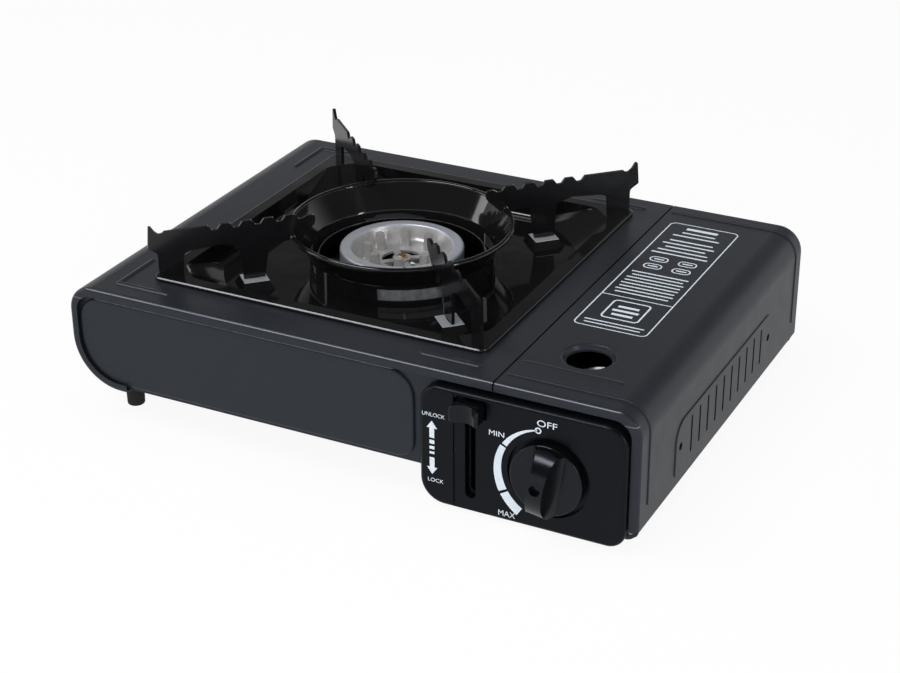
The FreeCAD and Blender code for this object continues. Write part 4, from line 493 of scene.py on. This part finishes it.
def tray_highlights_and_collar(finish):
    """1 on the painted highlights: the tops of the four seats and the flange's front edge. The collar's
    outer face, seen through the ring's slots, is blended part way to pale grey."""
    height = axis_of(finish, "Z")
    at_level = (height > seat_level - seat_reach) * (height < seat_level + seat_reach)
    away = from_burner(finish)
    painted_highlight = finish.level(finish.noise(size=0.002, detail=3.0), 0.55, 1.0)
    # Painted highlight: pale grey on the tops of the four seats, broken up by noise.
    seats = at_level * (away > seat_near) * (away < seat_far) * painted_highlight
    # The collar's outer face, seen through the ring's slots, is blended part way to pale grey.
    outer_face = (away + height * collar_lean > collar_reach) * (away < collar_foot)
    collar_grey = finish.level(finish.noise(size=0.003, detail=4.0), 0.06, 0.30)
    collar = outer_face * (height > collar_low) * collar_grey
    # The last term is the painted highlight on the flange's front edge.
    return seats + collar + along_front(finish, tray_front, flange_level, flange_depth, flange_half)


# Painted highlights on the seats and the flange's front edge, and the collar's grey tone, go in through
# the pale mask.
tray_enamel = enamel("glossy_black_enamel", roughness=0.07, wave=0.00012, pale_mask=tray_highlights_and_collar)
dress(tray_enamel, "drip_tray")

# Wind ring. Steel ring with a rolled rim and slots round its skirt, which stands round the tray's
# collar. It has the same glossy enamel as the tray.

ring_enamel = enamel("ring_black_enamel", roughness=0.07, wave=0.00012)
dress(ring_enamel, "wind_ring")

# Pan support arms. Blanked from thick sheet with scalloped top edges, hooked on the ring's rim and
# tabbed into the tray, dipped in black enamel.

arm_black = enamel("arm_black_enamel", roughness=0.16, wave=0.00008)
dress(arm_black, "pan_arm_front_left", "pan_arm_front_right", "pan_arm_rear_left", "pan_arm_rear_right")

# Burner head. Die-cast aluminium: a satin machined ring round a dished floor with eight tapered
# pegs and an open centre, held by a brass screw.

mottle_size, head_mottle_size, ring_inside = 0.007, 0.006, 0.0290


def cast_metal(name, roughness, depth, metallic=1.0):
    """Mottled metal with a fine grain. Its colour is given after it."""
    metal = new_finish(name, Metallic=metallic)
    metal.roughness(metal.level(metal.noise(mottle_size, detail=5.0), roughness + 0.08, roughness - 0.08))
    metal.relief(metal.noise(size=0.0012, detail=3.0), depth)
    return metal


def mottled(metal, size, low, high):
    """Colour that wanders between two tones."""
    return metal.blend(metal.noise(size, detail=5.0), low, high)


head = cast_metal("burner_casting", roughness=0.36, depth=0.00006, metallic=0.65)
dish = mottled(head, head_mottle_size, (0.34, 0.335, 0.33), (0.66, 0.65, 0.65))
rim = mottled(head, head_mottle_size, (0.50, 0.53, 0.58), (0.60, 0.63, 0.69))
head.colour(head.blend(from_burner(head) > ring_inside, dish, rim))
dress(head, "burner_head")

# Metal fittings. Burner cup, mixing tube, brackets, partition, slide, guides, pins and screws are
# pressed, bent or turned in zinc-plated steel, with the fine lines of rolling. The heat plate is bare
# aluminium, and the burner's screw and the nozzle are turned brass.

rolling_stretch, rolling_depth = (1.0, 0.05, 1.0), 0.00001


def sheet_metal(name, low, high, roughness):
    """Rolled sheet between two tones, with fine lines along the stove's depth."""
    metal = new_finish(name, Metallic=1.0)
    lines = metal.noise(size=0.0008, detail=2.0, stretch=rolling_stretch)
    bloom = metal.noise(size=0.015, detail=4.0)
    metal.colour(metal.blend(bloom, low, high))
    metal.roughness(metal.level(bloom, roughness - 0.07, roughness + 0.09))
    metal.relief(lines, rolling_depth)
    return metal


zinc = sheet_metal("zinc_plated_steel", (0.42, 0.43, 0.44), (0.56, 0.57, 0.58), roughness=0.36)
dress(zinc, "burner_base", "mixing_tube", "burner_bracket", "partition_plate", "knob_spindle",
      "lock_lever_carrier", "cartridge_slide", "slide_guides", "regulator_cap", "cartridge_collar",
      "regulator_bracket", "regulator_screws", "panel_screws", "case_screws", "hinge_pins", "electrode")
rolled_aluminium = sheet_metal("rolled_aluminium", (0.58, 0.58, 0.59), (0.70, 0.70, 0.71), roughness=0.34)
dress(rolled_aluminium, "heat_plate")
brass = cast_metal("turned_brass", roughness=0.32, depth=0.00001)
brass.colour(mottled(brass, mottle_size, (0.60, 0.34, 0.13), (0.80, 0.52, 0.24)))
dress(brass, "burner_screw", "gas_nozzle")

# Regulator, seal and feet. The regulator's body is die cast, with a rough skin. The seal of its socket
# and the four feet under the case are moulded in black rubber.

regulator = cast_metal("regulator_casting", roughness=0.5, depth=0.00008)
regulator.colour(mottled(regulator, mottle_size, (0.45, 0.45, 0.45), (0.60, 0.60, 0.60)))
dress(regulator, "regulator_body")
grains_in_tone = 8


def plain(name, low, high, roughness, grain, depth, **constants):
    """One even material between two tones, with a grain of the given size and depth."""
    simple = new_finish(name, **constants)
    tone = simple.noise(grain * grains_in_tone, detail=3.0)
    simple.colour(simple.blend(tone, low, high))
    simple.roughness(simple.level(tone, roughness - roughness_swing, roughness + roughness_swing))
    simple.relief(simple.noise(grain, detail=2.0), depth)
    return simple


rubber = plain("moulded_rubber", (0.010, 0.010, 0.010), (0.016, 0.016, 0.016), roughness=0.7,
               grain=0.0008, depth=0.00004, Specular_IOR_Level=0.3)
dress(rubber, "socket_seal", "foot_front_left", "foot_front_right", "foot_rear_left", "foot_rear_right")

# Ignition. Igniter, cam and plunger are white mouldings, the insulator is fired ceramic, and the lead
# from the igniter to the electrode has a red jacket.

white_moulding = plain("white_moulding", (0.66, 0.65, 0.61), (0.76, 0.75, 0.71), roughness=0.45,
                       grain=0.0007, depth=0.00002)
dress(white_moulding, "ignition_cam", "igniter_plunger", "piezo_igniter")
ceramic = plain("fired_ceramic", (0.78, 0.77, 0.73), (0.86, 0.85, 0.82), roughness=0.3,
                grain=0.0006, depth=0.00001)
dress(ceramic, "electrode_insulator")
jacket = plain("lead_jacket", (0.62, 0.14, 0.08), (0.74, 0.20, 0.11), roughness=0.35,
               grain=0.001, depth=0.00002)
dress(jacket, "ignition_wire")

# Floor. A wide pale sheet just under the stove. It glows to the eye and to gloss, so that it looks
# white, and still takes a soft shadow.

floor_half, floor_drop = 6.0, 0.0002
floor_to_eye, floor_in_gloss = 0.92, 0.60
floor_finish = new_finish("pale_floor", Roughness=0.9, Specular_IOR_Level=0.1)
floor_finish.colour((0.82, 0.82, 0.82, 1.0))


def rays(finish, kind):
    """1 for rays of one kind: Camera, Glossy or Transmission."""
    return finish.node("ShaderNodeLightPath", {}, {}, "Is " + kind + " Ray")


lit = Signal(floor_finish, floor_finish.surface.outputs[0])
from_eye = rays(floor_finish, "Camera")
glow_colour = floor_finish.blend(from_eye, (floor_in_gloss,) * 3, (1.0, 1.0, 1.0))
glow = floor_finish.node("ShaderNodeEmission", {}, {"Color": glow_colour})
glowing = from_eye * floor_to_eye + rays(floor_finish, "Glossy") + rays(floor_finish, "Transmission")
shown = floor_finish.node("ShaderNodeMixShader", {}, {0: glowing, 1: lit, 2: glow})
floor_finish.feed(floor_finish.tree.nodes["Material Output"].inputs["Surface"], shown)
floor_mesh = bpy.data.meshes.new("floor")
floor_corners = bar((-floor_half, -floor_half), (floor_half, floor_half))
floor_mesh.from_pydata([(u, v, -floor_drop) for u, v in floor_corners], [], [(0, 1, 2, 3)])
floor_mesh.materials.append(floor_finish.owner)
floor = bpy.data.objects.new("floor", floor_mesh)
bpy.context.collection.objects.link(floor)

# Room. White to the eye; to other rays it is pale near the horizon and dark overhead, as a studio
# with soft boxes is.

world = bpy.data.worlds.new("studio")
bpy.context.scene.world = world
room = Finish(world)
room_low, room_high = 0.72, 0.07
horizon_top, ceiling_start = 0.22, 0.44
direction = room.node("ShaderNodeTexCoord", {}, {}, "Generated")
rise = room.node("ShaderNodeSeparateXYZ", {}, {"Vector": direction}, "Z")
shade = room.node("ShaderNodeMapRange", {"interpolation_type": "SMOOTHSTEP"},
                  {"Value": rise, "From Min": horizon_top, "From Max": ceiling_start,
                   "To Min": room_low, "To Max": room_high})
to_eye = rays(room, "Camera")
background = world.node_tree.nodes["Background"]
room.feed(background.inputs["Color"], (1.0, 1.0, 1.0, 1.0))
room.feed(background.inputs["Strength"], to_eye + (1.0 - to_eye) * shade)

# Soft boxes. Large area lamps above and on both sides, which gloss mirrors, and two fill lamps that
# it doesn't.

lamp_target = Vector((0.0, 0.0, 0.05))


def soft_box(name, place, width, height, power, mirrored=True):
    """Area lamp that points at the stove, with its power in watts."""
    lamp = bpy.data.lights.new(name, "AREA")
    lamp.shape = "RECTANGLE"
    lamp.size = width
    lamp.size_y = height
    lamp.energy = power
    holder = bpy.data.objects.new(name, lamp)
    holder.location = place
    holder.rotation_euler = (lamp_target - Vector(place)).to_track_quat("-Z", "Y").to_euler()
    holder.visible_glossy = mirrored
    bpy.context.collection.objects.link(holder)


soft_box("overhead", (-0.65, -0.65, 1.6), width=1.5, height=0.35, power=15.0)
soft_box("left_side", (-1.7, -0.4, 0.9), width=0.35, height=1.0, power=3.5)
soft_box("right_side", (1.9, -0.3, 0.9), width=0.2, height=0.9, power=5.0)
soft_box("fill", (0.7, -1.6, 0.9), width=1.4, height=1.0, power=22.0, mirrored=False)
soft_box("fill_above", (0.0, 0.3, 2.0), width=1.6, height=1.2, power=14.0, mirrored=False)

# Camera. It stands at the photograph's place and angle, which were solved from the stove's straight
# edges, the tray's corners and the circles round the burner.

azimuth, elevation, roll = math.radians(26.93), math.radians(26.93), math.radians(-0.33)
eye = Vector((0.47134, -0.91245, 0.55408))
back = Vector((math.sin(azimuth) * math.cos(elevation), -math.cos(azimuth) * math.cos(elevation),
               math.sin(elevation)))
side = (-back).cross(Vector((0.0, 0.0, 1.0))).normalized()
upward = side.cross(-back)
turned_side = math.cos(roll) * side + math.sin(roll) * upward
turned_up = -math.sin(roll) * side + math.cos(roll) * upward
camera = bpy.data.cameras.new("camera")
camera.lens = 80.25
camera.sensor_width = 36.0
camera.sensor_fit = "HORIZONTAL"
viewer = bpy.data.objects.new("camera", camera)
turned = Matrix((turned_side, turned_up, back)).transposed().to_4x4()
viewer.matrix_world = Matrix.Translation(eye) @ turned
bpy.context.collection.objects.link(viewer)
bpy.context.scene.camera = viewer
bpy.context.scene.view_settings.view_transform = "Standard"
